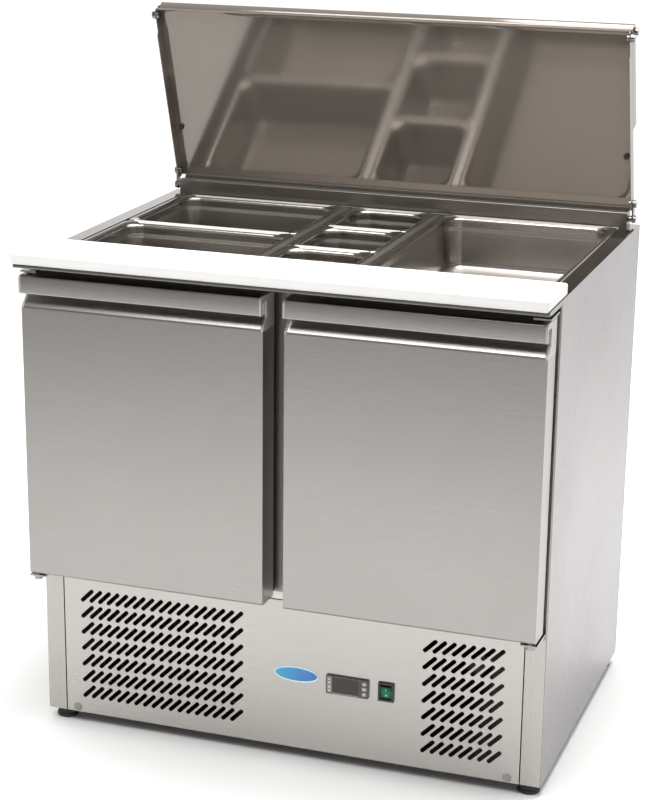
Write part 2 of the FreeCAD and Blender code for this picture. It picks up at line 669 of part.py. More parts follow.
def door_core_room():
    inner = prism_x(door_outline(THIN), DOOR_IN + THIN, DOOR_OUT - THIN)
    room = inner.cut(handle_zone(DOOR_IN, DOOR_IN + CAP)).cut(handle_zone(DOOR_OUT - CAP, DOOR_OUT))
    return room.common(box(DOOR_IN, DOOR_OUT, LIP_FRONT, DOOR_BACK, DOOR_BOTTOM, DOOR_TOP))


def door_liner():
    skin = box(DOOR_IN, DOOR_OUT, DOOR_BACK - LINER_SKIN, DOOR_BACK, DOOR_BOTTOM, DOOR_TOP)
    return door_core_room().common(skin)


def door_foam():
    """Foam core in three blocks, face to face: the panel, the back of the grip and the lip."""
    front = box(DOOR_IN, DOOR_OUT, LIP_FRONT, DOOR_BACK - LINER_SKIN, DOOR_BOTTOM, DOOR_TOP)
    low, high = hinge_blocks()
    bulk = door_core_room().common(front).cut(low).cut(high).cut(hinge_bores(0.6))
    split_y = GRIP_BACK + THIN / 2
    panel = box(DOOR_IN, DOOR_OUT, LIP_FRONT, DOOR_BACK, DOOR_BOTTOM, GRIP_FLOOR)
    grip_back = box(DOOR_IN, DOOR_OUT, split_y, DOOR_BACK, GRIP_FLOOR, DOOR_TOP)
    lip = box(DOOR_IN, DOOR_OUT, LIP_FRONT, split_y, GRIP_FLOOR, DOOR_TOP)
    blocks = []
    for zone in (panel, grip_back, lip):
        blocks += bulk.common(zone).Solids
    return blocks


def door_gasket():
    """Magnetic seal frame on the back of the door."""
    x0, x1 = DOOR_IN + 4, HINGE_X - 2
    z0, z1 = DOOR_BOTTOM + 4, DOOR_TOP - 4
    y1 = CASE_FRONT - 0.4
    outer = box(x0, x1, DOOR_BACK, y1, z0, z1)
    inner = box(x0 + GASKET, x1 - GASKET, DOOR_BACK - 1, y1 + 1, z0 + GASKET, z1 - GASKET)
    bellows = outer.common(inner.fuse(outer)).cut(inner)
    groove_y = (DOOR_BACK + y1) / 2
    groove = box(x0 - 1, x0 + 3, groove_y - 1.5, groove_y + 1.5, z0 - 1, z1 + 1)
    return bellows.cut(groove)


def hinge_brackets():
    """Right-hand lower and upper brackets with their pins."""
    x0, x1 = HINGE_X - 16, HALF - 2
    y0 = HINGE_Y - 8
    y1 = CASE_FRONT
    plate = 3.0
    low_tab_z = DOOR_BOTTOM - 3 - plate
    low_tab = rounded_block(x0, x1, y0, y1, low_tab_z, low_tab_z + plate, 0)
    low_back = box(x0, x1, y1 - plate, y1, low_tab_z - 10, low_tab_z + plate)
    low_pin = rod(PIN_R, V(HINGE_X, HINGE_Y, low_tab_z - 4), V(HINGE_X, HINGE_Y, DOOR_BOTTOM + 14))
    knuckle = rod(7, V(HINGE_X, HINGE_Y, low_tab_z - 6), V(HINGE_X, HINGE_Y, low_tab_z + plate + 1.5))
    screw_z = low_tab_z - 5
    screws = [rod(4.4, V(x, y1 - plate - 2, screw_z), V(x, y1 - plate, screw_z)) for x in (x0 + 5.5, x1 - 5.5)]
    low = fuse([low_tab, low_back, low_pin, knuckle] + screws)
    high_tab_z = DOOR_TOP + 3
    high_tab = box(x0, x1, y0, y1, high_tab_z, high_tab_z + plate)
    high_back = box(x0, x1, y1 - plate, y1, high_tab_z, high_tab_z + 11)
    high_pin = rod(PIN_R, V(HINGE_X, HINGE_Y, DOOR_TOP - 7), V(HINGE_X, HINGE_Y, high_tab_z + plate))
    high = fuse([high_tab, high_back, high_pin])
    return [low, high]


# ---------------------------------------------------------------- inside the cold cavity
SHELF_Z = 560.0
SHELF_X0, SHELF_X1 = 30.0, 400.0
SHELF_Y0, SHELF_Y1 = -198.0, 204.0


def wire_shelf():
    """Welded wire shelf: round frame, cross wires on top."""
    r = 3.0
    cross_r = 2.0
    z = SHELF_Z + r
    loop = plan_wire(SHELF_X0, SHELF_X1, SHELF_Y0, SHELF_Y1, z, 14)
    start = loop.Edges[0].valueAt(loop.Edges[0].FirstParameter)
    heading = loop.Edges[0].tangentAt(loop.Edges[0].FirstParameter)
    pieces = [loop.makePipeShell([Part.Wire(Part.makeCircle(r, start, heading))], True, True)]
    middle = (SHELF_Y0 + SHELF_Y1) / 2
    pieces.append(rod(r, V(SHELF_X0, middle, z), V(SHELF_X1, middle, z)))
    wires = 14
    pitch = (SHELF_X1 - SHELF_X0) / (wires + 1)
    top = z + r + cross_r - 0.9
    for i in range(wires):
        x = SHELF_X0 + pitch * (i + 1)
        pieces.append(rod(cross_r, V(x, SHELF_Y0 - 1.5, top), V(x, SHELF_Y1 + 1.5, top)))
    return fuse(pieces)


def shelf_post(x0, x1, y0, y1, peg):
    """Upright strip with a row of slots' worth of height and one peg under the shelf."""
    strip = box(x0, x1, y0, y1, FLOOR, 740)
    return fuse([strip, box(*peg, SHELF_Z - 5, SHELF_Z)])


def shelf_posts():
    """Four uprights for the right-hand shelf."""
    posts = []
    for y in (-150, 150):
        posts.append(shelf_post(LINER - 4, LINER, y - 10, y + 10, (SHELF_X1 - 8, LINER - 4, y - 6, y + 6)))
    front = FRAME_BACK
    posts.append(shelf_post(28, 44, front, front + 4, (SHELF_X0, 42, front + 4, SHELF_Y0 + 8)))
    rear = EVAPORATOR_COVER_FRONT
    posts.append(shelf_post(134, 150, rear - 4, rear, (136, 148, SHELF_Y1 - 8, rear - 4)))
    return posts


EVAPORATOR_COVER_FRONT = 228.0


def fins(x0, x1, y0, y1, z0, z1, pitch, tube_rows):
    """Finned coil: thin upright fins on through tubes."""
    pieces = []
    count = int((x1 - x0) / pitch)
    for i in range(count + 1):
        x = x0 + i * pitch
        pieces.append(box(x - 0.5, x + 0.5, y0, y1, z0, z1))
    middle = (y0 + y1) / 2
    step = (z1 - z0) / tube_rows
    for i in range(tube_rows):
        z = z0 + step * (i + 0.5)
        pieces.append(rod(4.5, V(x0 - 4, middle, z), V(x1 + 4, middle, z)))
    return fuse(pieces)


def evaporator_coil():
    return fins(-132, 132, 246, 296, 580, 670, 12, 4)


def evaporator_cover():
    """Sheet housing over the evaporator and its fan, against the cavity's rear wall."""
    x = 154.0
    z0, z1 = 370.0, 690.0
    outer = box(-x, x, EVAPORATOR_COVER_FRONT, LINER_REAR, z0, z1)
    inner = box(-x + SHEET, x - SHEET, EVAPORATOR_COVER_FRONT + SHEET, LINER_REAR + 1, z0 + SHEET, z1 - SHEET)
    fx, fy, fz = EVAPORATOR_FAN
    mouth = rod(78, V(fx, 200, fz), V(fx, 240, fz))
    slots = [plaque(0, 600 + 18 * row, 240, 8, 220, 235, 3.9) for row in range(4)]
    shell = outer.cut(inner).cut(mouth).cut(Part.makeCompound(slots))
    guard = []
    for radius in (24, 44, 64):
        ring = rod(radius + 1.2, V(fx, 228, fz), V(fx, 229.2, fz))
        guard.append(ring.cut(rod(radius - 1.2, V(fx, 227, fz), V(fx, 231, fz))))
    for angle in (0, 60, 120):
        spoke = box(fx - 79, fx + 79, 228, 229.2, fz - 1.5, fz + 1.5)
        spoke.rotate(V(fx, 228, fz), V(0, 1, 0), angle)
        guard.append(spoke)
    return fuse([shell] + guard)


def fan_blades(centre, radius, hub_r, depth, blades):
    """Axial fan on a shaft along Y: hub with a bore, pitched blades."""
    cx, cy, cz = centre
    half = depth / 2
    hub = rod(hub_r, V(cx, cy - half, cz), V(cx, cy + half, cz))
    pieces = [hub]
    for i in range(blades):
        blade = box(cx + hub_r * 0.7, cx + radius, cy - 0.9, cy + 0.9, cz - 17, cz + 17)
        blade.rotate(V(cx, cy, cz), V(1, 0, 0), 28)
        blade.rotate(V(cx, cy, cz), V(0, 1, 0), 360.0 * i / blades)
        pieces.append(blade)
    bore = rod(2.5 + RUNNING, V(cx, cy - half + 3, cz), V(cx, cy + half + 5, cz))
    return fuse(pieces).cut(bore)


def fan_motor(centre, depth):
    """Small shaded-pole motor behind the fan, its shaft in the hub."""
    cx, cy, cz = centre
    back = cy + depth / 2
    can = rod(26, V(cx, back + 6, cz), V(cx, back + 34, cz))
    boss = rod(9, V(cx, back + 2, cz), V(cx, back + 6, cz))
    shaft = rod(2.5, V(cx, cy - depth / 2 + 4, cz), V(cx, back + 6, cz))
    return fuse([can, boss, shaft])


# ---------------------------------------------------------------- machinery
COIL_Z0, COIL_Z1 = 40.0, 250.0
COIL_FRONT, COIL_BACK = -222.0, -176.0


def condenser_coil():
    return fins(-356, -124, COIL_FRONT, COIL_BACK, COIL_Z0, COIL_Z1, 11.6, 6)


def condenser_cowl():
    """Sheet shroud behind the condenser, with the fan ring, motor arms and base foot."""
    x0, x1 = -362.0, -118.0
    y0, y1 = COIL_BACK, -128.0
    z0, z1 = BODY_BOTTOM + 2 * SHEET, 256.0
    cx, cy, cz = CONDENSER_FAN
    outer = box(x0, x1, y0, y1, z0, z1)
    inner = box(x0 + SHEET, x1 - SHEET, y0 - 1, y1 - SHEET, z0 + 12, z1 - SHEET)
    mouth = rod(94, V(cx, y1 - 5, cz), V(cx, y1 + 5, cz))
    shroud = outer.cut(inner).cut(mouth)
    arms = []
    for angle in (0, 90):
        arm = box(cx - 104, cx + 104, y1, y1 + 4, cz - 5, cz + 5)
        arm.rotate(V(cx, y1, cz), V(0, 1, 0), angle + 45)
        arms.append(arm)
    clear = rod(12, V(cx, y1 - 2, cz), V(cx, y1 + 8, cz))
    return fuse([shroud, fuse(arms).cut(clear)])


def compressor():
    """Hermetic compressor: two-part steel pot on a four-legged base plate, with its terminal box."""
    cx, cy = COMPRESSOR
    z0 = 44.0
    pot_r = 74.0
    pot = rod(pot_r, V(cx, cy, z0 + 42), V(cx, cy, z0 + 118))
    squash = FreeCAD.Matrix()
    squash.scale(1, 1, 0.57)
    dome = Part.makeSphere(pot_r).transformGeometry(squash)
    domes = []
    for z in (z0 + 42, z0 + 118):
        cap = dome.copy()
        cap.translate(V(cx, cy, z))
        domes.append(cap.common(box(cx - 90, cx + 90, cy - 90, cy + 90, z0 + 1, z0 + 200)))
    seam = rod(77, V(cx, cy, z0 + 66), V(cx, cy, z0 + 70))
    plate = rounded_block(cx - 85, cx + 85, cy - 60, cy + 60, z0, z0 + 3, 12)
    terminals = box(cx + 60, cx + 98, cy - 24, cy + 24, z0 + 40, z0 + 92)
    stubs = [rod(5, V(cx - 30 * s, cy - 60, z0 + 90), V(cx - 30 * s, cy - 90, z0 + 90)) for s in (-1, 1)]
    holes = Part.makeCompound([rod(5.2, p, p + V(0, 0, 10)) for p in grommet_spots(z0 - 2)])
    return fuse([pot, seam, plate, terminals] + domes + stubs).cut(holes)


def grommet_spots(z):
    cx, cy = COMPRESSOR
    return [V(cx + sx * 74, cy + sy * 50, z) for sx in (-1, 1) for sy in (-1, 1)]


def compressor_grommets():
    """Rubber mounts between the compressor's base plate and the tray."""
    z0 = BODY_BOTTOM + 2 * SHEET
    mounts = []
    for spot in grommet_spots(z0):
        foot_pad = rod(11, spot, spot + V(0, 0, 44 - z0))
        neck = rod(5.2, spot, spot + V(0, 0, 50 - z0))
        mounts.append(fuse([foot_pad, neck]))
    return mounts


def refrigerant_pipes():
    """Copper lines: discharge, liquid line through the filter drier, and suction line."""
    cx, cy = COMPRESSOR
    r = 3.2
    z = 134.0
    discharge = tube_path([V(cx - 30, cy - 90, z), V(cx - 30, cy - 120, z), V(cx - 30, cy - 120, 232),
                           V(-110, cy - 120, 232), V(-110, -199, 232), V(-119.8, -199, 232)], r, 9)
    suction = tube_path([V(cx + 30, cy - 90, z), V(cx + 30, cy - 112, z), V(cx + 30, cy - 112, 262),
                         V(cx + 30, 327, 262), V(128, 327, 262), V(128, 327, 600), V(128, 302, 600),
                         V(128, 302, 650), V(136.4, 302, 650)], r, 5)
    drier = rod(10, V(-90, -199, 60), V(-90, -199, 150))
    liquid_in = tube_path([V(-119.8, -199, 57.5), V(-104, -199, 57.5), V(-104, -199, 44), V(-90, -199, 44),
                           V(-90, -199, 60)], r, 5)
    liquid_out = tube_path([V(-90, -199, 150), V(-90, -199, 275), V(112, -199, 275), V(112, 327, 275),
                            V(112, 327, 600), V(112, 302, 600), V(112, 302, 640)], 2.4, 8)
    return [discharge, suction, drier, liquid_in, liquid_out]


def cable_gland():
    """Rubber grommet pressed into the rear sheet from inside; a cable passes its bore."""
    x, z = GLAND
    neck = rod(10, V(x, BACK - SHEET, z), V(x, BACK, z))
    flange = rod(15, V(x, BACK - 8, z), V(x, BACK - SHEET, z))
    return fuse([neck, flange]).cut(rod(4.5, V(x, BACK - 12, z), V(x, BACK + 3, z)))


# ---------------------------------------------------------------- write the pieces
def main():
    os.makedirs("parts", exist_ok=True)
    side = side_panel()
    save("side_panel_right", [side])
    save("side_panel_left", [mirror_x(side)])
    save("back_panel", [back_panel()])
    save("base_pan", [base_pan()])
    save("top_frame", [top_frame()])
    save("riser_box", [riser_box()])
    save("door_frame", [door_frame()])
    save("inner_liner", [inner_liner()])
    save("cabinet_foam", cabinet_foam())
    save("vent_panel", [vent_panel()])
    save("panel_screw_caps", panel_screw_caps())
    save("badge_plate", [badge_plate()])
    save("thermostat_housing", [thermostat_housing()])
    save("thermostat_window", [thermostat_window()])
    for name, row in (("key_up", 1), ("key_set", 0), ("key_down", -1)):
        save(name, [key(row)])
    save("rocker_frame", [rocker_frame()])
    save("rocker_button", [rocker_button()])
    for name, side_x, y in (("foot_front_left", -1, FOOT_FRONT), ("foot_front_right", 1, FOOT_FRONT),
                            ("foot_rear_left", -1, FOOT_REAR - 2), ("foot_rear_right", 1, FOOT_REAR - 2)):
        save(name, [foot(side_x, y)])

    save("cutting_board", [cutting_board()])
    save("pan_bars", pan_bars())
    save("pan_full", [pan(SIDE_COLUMN_X, PAN_Y, FULL_WIDE, FULL_LONG)])
    save("pan_half_front", [pan(-SIDE_COLUMN_X, PAN_Y - HALF_LONG / 2 - 0.5, FULL_WIDE, HALF_LONG)])
    save("pan_half_rear", [pan(-SIDE_COLUMN_X, PAN_Y + HALF_LONG / 2 + 0.5, FULL_WIDE, HALF_LONG)])
    for name, row in (("pan_sixth_front", -1), ("pan_sixth_middle", 0), ("pan_sixth_rear", 1)):
        save(name, [pan(0, PAN_Y + row * (SIXTH_LONG + 1), SIXTH_WIDE, SIXTH_LONG)])

    save("lid_rear_section", [lid_rear_section()])
    save("lid_front_section", [lid_front_section()])
    save("lid_links", both_sides(link(PIVOT_A, OPEN_B, RISER_X - SHEET - 4.4)))
    fold, c = fold_places()
    save("fold_links", both_sides(link(fold, c, LID_X - SHEET - 4.4)))
    save("lid_bumpers", lid_bumpers())

    right_door = {"door_shell": [door_shell()], "door_end_caps": door_end_caps(), "door_liner": [door_liner()],
                  "door_foam": door_foam(), "door_gasket": [door_gasket()]}
    for name, solids in right_door.items():
        save(name + "_right", solids)
        save(name + "_left", [mirror_x(solid) for solid in solids])
    brackets = hinge_brackets()
    save("hinge_brackets", brackets + [mirror_x(solid) for solid in brackets])

    save("wire_shelves", both_sides(wire_shelf()))
    posts = shelf_posts()
    save("shelf_posts", posts + [mirror_x(solid) for solid in posts])
    save("evaporator_coil", [evaporator_coil()])
    save("evaporator_cover", [evaporator_cover()])
    save("evaporator_fan", [fan_blades(EVAPORATOR_FAN, 70, 16, 24, 5)])
    save("condenser_coil", [condenser_coil()])
    save("condenser_cowl", [condenser_cowl()])
    save("condenser_fan", [fan_blades(CONDENSER_FAN, 88, 18, 24, 5)])
    save("fan_motors", [fan_motor(EVAPORATOR_FAN, 24), fan_motor(CONDENSER_FAN, 24)])
    save("compressor", [compressor()])
    save("compressor_grommets", compressor_grommets())
    save("refrigerant_pipes", refrigerant_pipes())
    save("cable_gland", [cable_gland()])


main()
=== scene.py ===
"""Looks of the refrigerated sandwich prep table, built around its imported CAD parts.  Metres."""

import json
import math

import bmesh
import bpy
from mathutils import Matrix, Vector

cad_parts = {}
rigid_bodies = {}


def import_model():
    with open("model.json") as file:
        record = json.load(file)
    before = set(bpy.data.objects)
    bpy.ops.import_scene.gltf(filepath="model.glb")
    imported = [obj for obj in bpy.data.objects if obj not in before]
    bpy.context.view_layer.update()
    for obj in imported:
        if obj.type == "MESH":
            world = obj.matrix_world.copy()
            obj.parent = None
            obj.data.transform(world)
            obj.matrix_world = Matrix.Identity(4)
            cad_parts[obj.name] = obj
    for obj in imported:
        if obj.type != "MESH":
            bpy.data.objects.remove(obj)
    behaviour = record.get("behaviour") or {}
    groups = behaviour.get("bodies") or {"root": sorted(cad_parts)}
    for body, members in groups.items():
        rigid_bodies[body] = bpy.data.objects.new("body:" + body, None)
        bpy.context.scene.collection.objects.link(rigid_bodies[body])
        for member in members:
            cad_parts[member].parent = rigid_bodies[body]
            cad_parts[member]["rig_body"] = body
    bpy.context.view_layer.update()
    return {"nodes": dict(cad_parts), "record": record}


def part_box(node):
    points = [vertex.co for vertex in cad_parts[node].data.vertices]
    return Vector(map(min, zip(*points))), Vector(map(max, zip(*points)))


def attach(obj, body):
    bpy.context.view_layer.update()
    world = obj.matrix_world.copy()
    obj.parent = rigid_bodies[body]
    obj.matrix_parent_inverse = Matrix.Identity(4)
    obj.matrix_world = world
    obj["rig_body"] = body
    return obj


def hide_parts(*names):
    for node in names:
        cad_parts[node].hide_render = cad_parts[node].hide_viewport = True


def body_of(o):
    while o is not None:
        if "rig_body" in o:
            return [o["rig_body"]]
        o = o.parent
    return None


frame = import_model()
NODES = frame["nodes"]
MM = 0.001
SIDES = ("left", "right")
PANS = [name for name in sorted(NODES) if name.startswith("pan_") and name != "pan_bars"]


def new_object(name, data):
    """Object made from its data and linked into the scene."""
    made = bpy.data.objects.new(name, data)
    bpy.context.scene.collection.objects.link(made)
    return made


# ---------------------------------------------------------------- camera
CAMERA_PLACE = Vector((1.1347, -3.3585, 1.6251))
CAMERA_YAW = 0.3445
CAMERA_PITCH = 0.3081
CAMERA_ROLL = 0.0078
CAMERA_LENS = 94.81
CAMERA_SHIFT = (0.0302, 0.0492)


def make_camera():
    """Camera at the photo's viewpoint: turned left by the yaw, down by the pitch, then rolled."""
    data = bpy.data.cameras.new("camera")
    data.lens = CAMERA_LENS
    data.sensor_width = 36.0
    data.shift_x, data.shift_y = CAMERA_SHIFT
    data.clip_start = 0.1
    data.clip_end = 200.0
    level = Vector((math.cos(CAMERA_YAW), math.sin(CAMERA_YAW), 0))
    forward = Vector((-math.sin(CAMERA_YAW) * math.cos(CAMERA_PITCH),
                      math.cos(CAMERA_YAW) * math.cos(CAMERA_PITCH), -math.sin(CAMERA_PITCH)))
    upright = level.cross(forward)
    right = level * math.cos(CAMERA_ROLL) + upright * math.sin(CAMERA_ROLL)
    up = upright * math.cos(CAMERA_ROLL) - level * math.sin(CAMERA_ROLL)
    turn = Matrix((right, up, -forward)).transposed().to_4x4()
    camera = new_object("camera", data)
    camera.matrix_world = Matrix.Translation(CAMERA_PLACE) @ turn
    bpy.context.scene.camera = camera


# ---------------------------------------------------------------- shader helpers
def add(tree, kind, values=None, **settings):
    """New shader node with its settings and the values of its sockets."""
    made = tree.nodes.new(kind)
    for key, value in settings.items():
        setattr(made, key, value)
    for key, value in (values or {}).items():
        made.inputs[key].default_value = value
    return made


def blank_material(name):
    """New material with its node tree and main shader."""
    material = bpy.data.materials.new(name)
    material.use_nodes = True
    tree = material.node_tree
    return material, tree, tree.nodes["Principled BSDF"]


def own_place(tree):
    """Coordinates fixed to the piece, so that its pattern moves with it."""
    return add(tree, "ShaderNodeTexCoord").outputs["Object"]


def own_axis(tree, axis):
    """One of the piece's own coordinates: X, Y or Z."""
    split = add(tree, "ShaderNodeSeparateXYZ")
    tree.links.new(own_place(tree), split.inputs["Vector"])
    return split.outputs[axis]


def noise(tree, stretch=(1, 1, 1), scale=1.0, detail=3.0, rough=0.55):
    """Noise over the piece's own coordinates, stretched by a scale for each axis."""
    mapping = add(tree, "ShaderNodeMapping", {"Scale": stretch})
    made = add(tree, "ShaderNodeTexNoise", {"Scale": scale, "Detail": detail, "Roughness": rough})
    tree.links.new(own_place(tree), mapping.inputs["Vector"])
    tree.links.new(mapping.outputs["Vector"], made.inputs["Vector"])
    return made.outputs["Fac"]


def spread(tree, value, low, high, start=0.3, end=0.7):
    """Maps a value that runs from start to end to the range from low to high, held at both ends."""
    made = add(tree, "ShaderNodeMapRange",
               {"From Min": start, "From Max": end, "To Min": low, "To Max": high})
    tree.links.new(value, made.inputs["Value"])
    return made.outputs["Result"]


def tint(tree, factor, dark, light):
    """Colour between dark and light, by a factor from 0 to 1."""
    made = add(tree, "ShaderNodeMix", data_type="RGBA")
    made.inputs["A"].default_value = (*dark, 1)
    made.inputs["B"].default_value = (*light, 1)
    tree.links.new(factor, made.inputs["Factor"])
    return made.outputs["Result"]


def multiply(tree, first, second):
    """Product of two values."""
    made = add(tree, "ShaderNodeMath", operation="MULTIPLY")
    tree.links.new(first, made.inputs[0])
    tree.links.new(second, made.inputs[1])
    return made.outputs["Value"]


def bump(tree, shader, height, strength, distance):
    """Fine relief from a height value."""
    made = add(tree, "ShaderNodeBump", {"Strength": strength, "Distance": distance})
    tree.links.new(height, made.inputs["Height"])
    tree.links.new(made.outputs["Normal"], shader.inputs["Normal"])


def shade(color, factor):
    """Colour made darker or lighter by a factor."""
    return tuple(channel * factor for channel in color)


# ---------------------------------------------------------------- materials
GRAIN_LONG = 9.0             # noise cells per metre along and across the brushing
GRAIN_ACROSS = 1500.0


def grain_stretch(axis):
    """Stretch that draws the noise out along the brushing."""
    return tuple(GRAIN_LONG if letter == axis else GRAIN_ACROSS for letter in "xyz")


def steel(name, color, roughness, axis="x", streak=0.05, smudge=0.06, depth=0.06, waves=0.0):
    """Rolled or brushed steel: grain along one axis, wiped smudges, and waves where the sheet is thin."""
    material, tree, shader = blank_material(name)
    grain = noise(tree, grain_stretch(axis), detail=4)
    cloud = noise(tree, (3.5, 3.5, 3.5), detail=4)
    grain_factor = spread(tree, grain, 0, 1)
    color_out = tint(tree, grain_factor, shade(color, 1 - streak), shade(color, 1 + streak))
    rough_cloud = spread(tree, cloud, roughness - smudge, roughness + smudge)
    rough_grain = spread(tree, grain, 0.88, 1.12)
    shader.inputs["Metallic"].default_value = 1.0
    tree.links.new(color_out, shader.inputs["Base Color"])
    tree.links.new(multiply(tree, rough_cloud, rough_grain), shader.inputs["Roughness"])
    fine = add(tree, "ShaderNodeBump", {"Strength": depth, "Distance": 0.0002})
    tree.links.new(grain, fine.inputs["Height"])
    if waves:
        slow = add(tree, "ShaderNodeBump", {"Strength": waves, "Distance": 0.002})
        tree.links.new(noise(tree, (5, 5, 5), detail=0), slow.inputs["Height"])
        tree.links.new(slow.outputs["Normal"], fine.inputs["Normal"])
    tree.links.new(fine.outputs["Normal"], shader.inputs["Normal"])
    return material


SPANGLE_SCALE = 70.0         # zinc crystals per metre


def zinc_coat(tree, shader):
    """Makes a shader zinc with crystal spangle, and gives a level from 0 to 1 for each crystal."""
    cells = add(tree, "ShaderNodeTexVoronoi", {"Scale": SPANGLE_SCALE})
    level = add(tree, "ShaderNodeSeparateColor")
    tree.links.new(own_place(tree), cells.inputs["Vector"])
    tree.links.new(cells.outputs["Color"], level.inputs["Color"])
    spangle = level.outputs["Red"]
    shader.inputs["Metallic"].default_value = 1.0
    tree.links.new(spread(tree, spangle, 0.3, 0.48, 0, 1), shader.inputs["Roughness"])
    bump(tree, shader, spangle, 0.05, 0.0003)
    return spangle


def galvanised(name, color):
    """Zinc-coated sheet."""
    material, tree, shader = blank_material(name)
    spangle = zinc_coat(tree, shader)
    tree.links.new(tint(tree, spangle, shade(color, 0.86), shade(color, 1.1)), shader.inputs["Base Color"])
    return material


def back_sheet():
    """Galvanised outside, darkened with painted shade on the face that looks into the machine compartment.
    """
    material, tree, shader = blank_material("back_sheet")
    spangle = zinc_coat(tree, shader)
    outer_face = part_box("back_panel")[1].y
    # Painted shade: the inner face is darkened to 0.3 of the zinc's tone; the outer face keeps it.
    outside = spread(tree, own_axis(tree, "Y"), 0.3, 1, outer_face - 1.1 * MM, outer_face - 0.2 * MM)
    tone = multiply(tree, outside, spread(tree, spangle, 0.82, 1, 0, 1))
    tree.links.new(tint(tree, tone, (0.0, 0.0, 0.0), (0.68, 0.69, 0.70)), shader.inputs["Base Color"])
    return material


def shaded_frame_steel():
    """Steel below the doors' lower edge; above it the door frame's steel is darkened with painted shade, for
    the gaps between and around the doors.
    """
    material = steel("shaded_frame_steel", (1.0, 0.98, 0.95), 0.36, "x", 0.02, 0.03, 0.04)
    tree = material.node_tree
    shader = tree.nodes["Principled BSDF"]
    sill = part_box("door_shell_right")[0].z
    # Painted shade: above the sill the frame's tone drops from 0.55 to 0.26 of the steel's.
    above = spread(tree, own_axis(tree, "Z"), 0, 1, sill + 3 * MM, sill + 3.4 * MM)
    tone = add(tree, "ShaderNodeMix", data_type="RGBA", blend_type="MULTIPLY")
    tone.inputs["Factor"].default_value = 1.0
    tree.links.new(shader.inputs["Base Color"].links[0].from_socket, tone.inputs["A"])
    tree.links.new(tint(tree, above, (0.55, 0.54, 0.53), (0.26, 0.25, 0.24)), tone.inputs["B"])
    tree.links.new(tone.outputs["Result"], shader.inputs["Base Color"])
    return material


def plastic(name, color, roughness, speckle=0.05, coat=0.0, texture=0.12):
    """Moulded plastic with a fine spark-eroded texture and slight colour drift."""
    material, tree, shader = blank_material(name)
    fine = noise(tree, scale=1400, detail=2)
    slow = noise(tree, scale=16, detail=3)
    tone = spread(tree, slow, 0, 1)
    dark, light = shade(color, 1 - speckle), shade(color, 1 + speckle)
    tree.links.new(tint(tree, tone, dark, light), shader.inputs["Base Color"])
    tree.links.new(spread(tree, slow, roughness - 0.05, roughness + 0.05), shader.inputs["Roughness"])
    shader.inputs["Coat Weight"].default_value = coat
    shader.inputs["Coat Roughness"].default_value = 0.06
    bump(tree, shader, fine, texture, 0.0001)
    return material


def rubber(name, color=(0.018, 0.018, 0.019)):
    """Matt rubber with bloom."""
    material, tree, shader = blank_material(name)
    bloom = noise(tree, scale=45, detail=5)
    pores = noise(tree, scale=2200, detail=2)
    tone = spread(tree, bloom, 0, 1)
    tree.links.new(tint(tree, tone, color, shade(color, 1.9)), shader.inputs["Base Color"])
    tree.links.new(spread(tree, bloom, 0.55, 0.78), shader.inputs["Roughness"])
    bump(tree, shader, pores, 0.25, 0.0001)
    return material


def board_plastic():
    """White polyethylene: fine matt grain with faint, crossing knife marks."""
    material, tree, shader = blank_material("board_polyethylene")
    white = (0.80, 0.80, 0.785)
    marks_long = noise(tree, (9, 520, 40), detail=1, rough=0.3)
    marks_across = noise(tree, (480, 14, 40), detail=1, rough=0.3)
    cuts = multiply(tree, spread(tree, marks_long, 0, 1, 0.62, 0.74), spread(tree, marks_across, 0.2, 1))
    grain = noise(tree, scale=900, detail=3)
    tree.links.new(tint(tree, cuts, white, shade(white, 0.93)), shader.inputs["Base Color"])
    tree.links.new(spread(tree, grain, 0.38, 0.5), shader.inputs["Roughness"])
    shader.inputs["Subsurface Weight"].default_value = 0.12
    shader.inputs["Subsurface Radius"].default_value = (0.004, 0.004, 0.004)
    bump(tree, shader, grain, 0.12, 0.0002)
    return material


def foam_core():
    """Cut polyurethane foam."""
    material, tree, shader = blank_material("foam_core")
    cells = noise(tree, scale=420, detail=4)
    tone = spread(tree, cells, 0, 1)
    tree.links.new(tint(tree, tone, (0.66, 0.56, 0.33), (0.84, 0.76, 0.55)), shader.inputs["Base Color"])
    shader.inputs["Roughness"].default_value = 0.9
    bump(tree, shader, cells, 0.6, 0.001)
    return material


def badge_enamel():
    """Blank badge: teal at one end to deep blue at the other, under a clear dome."""
    material, tree, shader = blank_material("badge_enamel")
    low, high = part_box("badge_plate")
    along = spread(tree, own_axis(tree, "X"), 0, 1, low.x, high.x)
    haze = spread(tree, noise(tree, scale=60, detail=2), 0.9, 1.1)
    blue = tint(tree, multiply(tree, along, haze), (0.0, 0.36, 0.62), (0.005, 0.11, 0.50))
    tree.links.new(blue, shader.inputs["Base Color"])
    tree.links.new(spread(tree, haze, 0.12, 0.2, 0.9, 1.1), shader.inputs["Roughness"])
    shader.inputs["Coat Weight"].default_value = 0.8
    shader.inputs["Coat Roughness"].default_value = 0.04
    return material


def rocker_lens():
    """Green moulded lens with a painted glow: lighter in the middle, where the lamp sits."""
    material, tree, shader = blank_material("rocker_lens")
    low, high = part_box("rocker_button")
    middle = (low + high) / 2
    shift = add(tree, "ShaderNodeMapping", {"Location": -middle})
    reach = add(tree, "ShaderNodeVectorMath", operation="LENGTH")
    tree.links.new(own_place(tree), shift.inputs["Vector"])
    tree.links.new(shift.outputs["Vector"], reach.inputs[0])
    ripple = spread(tree, noise(tree, scale=500, detail=1), 0.85, 1.15)
    # Painted glow: the green is lighter towards the middle.
    lamp = spread(tree, multiply(tree, reach.outputs["Value"], ripple), 1, 0, 0.004, 0.013)
    color = tint(tree, lamp, (0.001, 0.06, 0.025), (0.004, 0.20, 0.085))
    tree.links.new(color, shader.inputs["Base Color"])
    shader.inputs["Roughness"].default_value = 0.22
    shader.inputs["Specular IOR Level"].default_value = 0.3
    return material


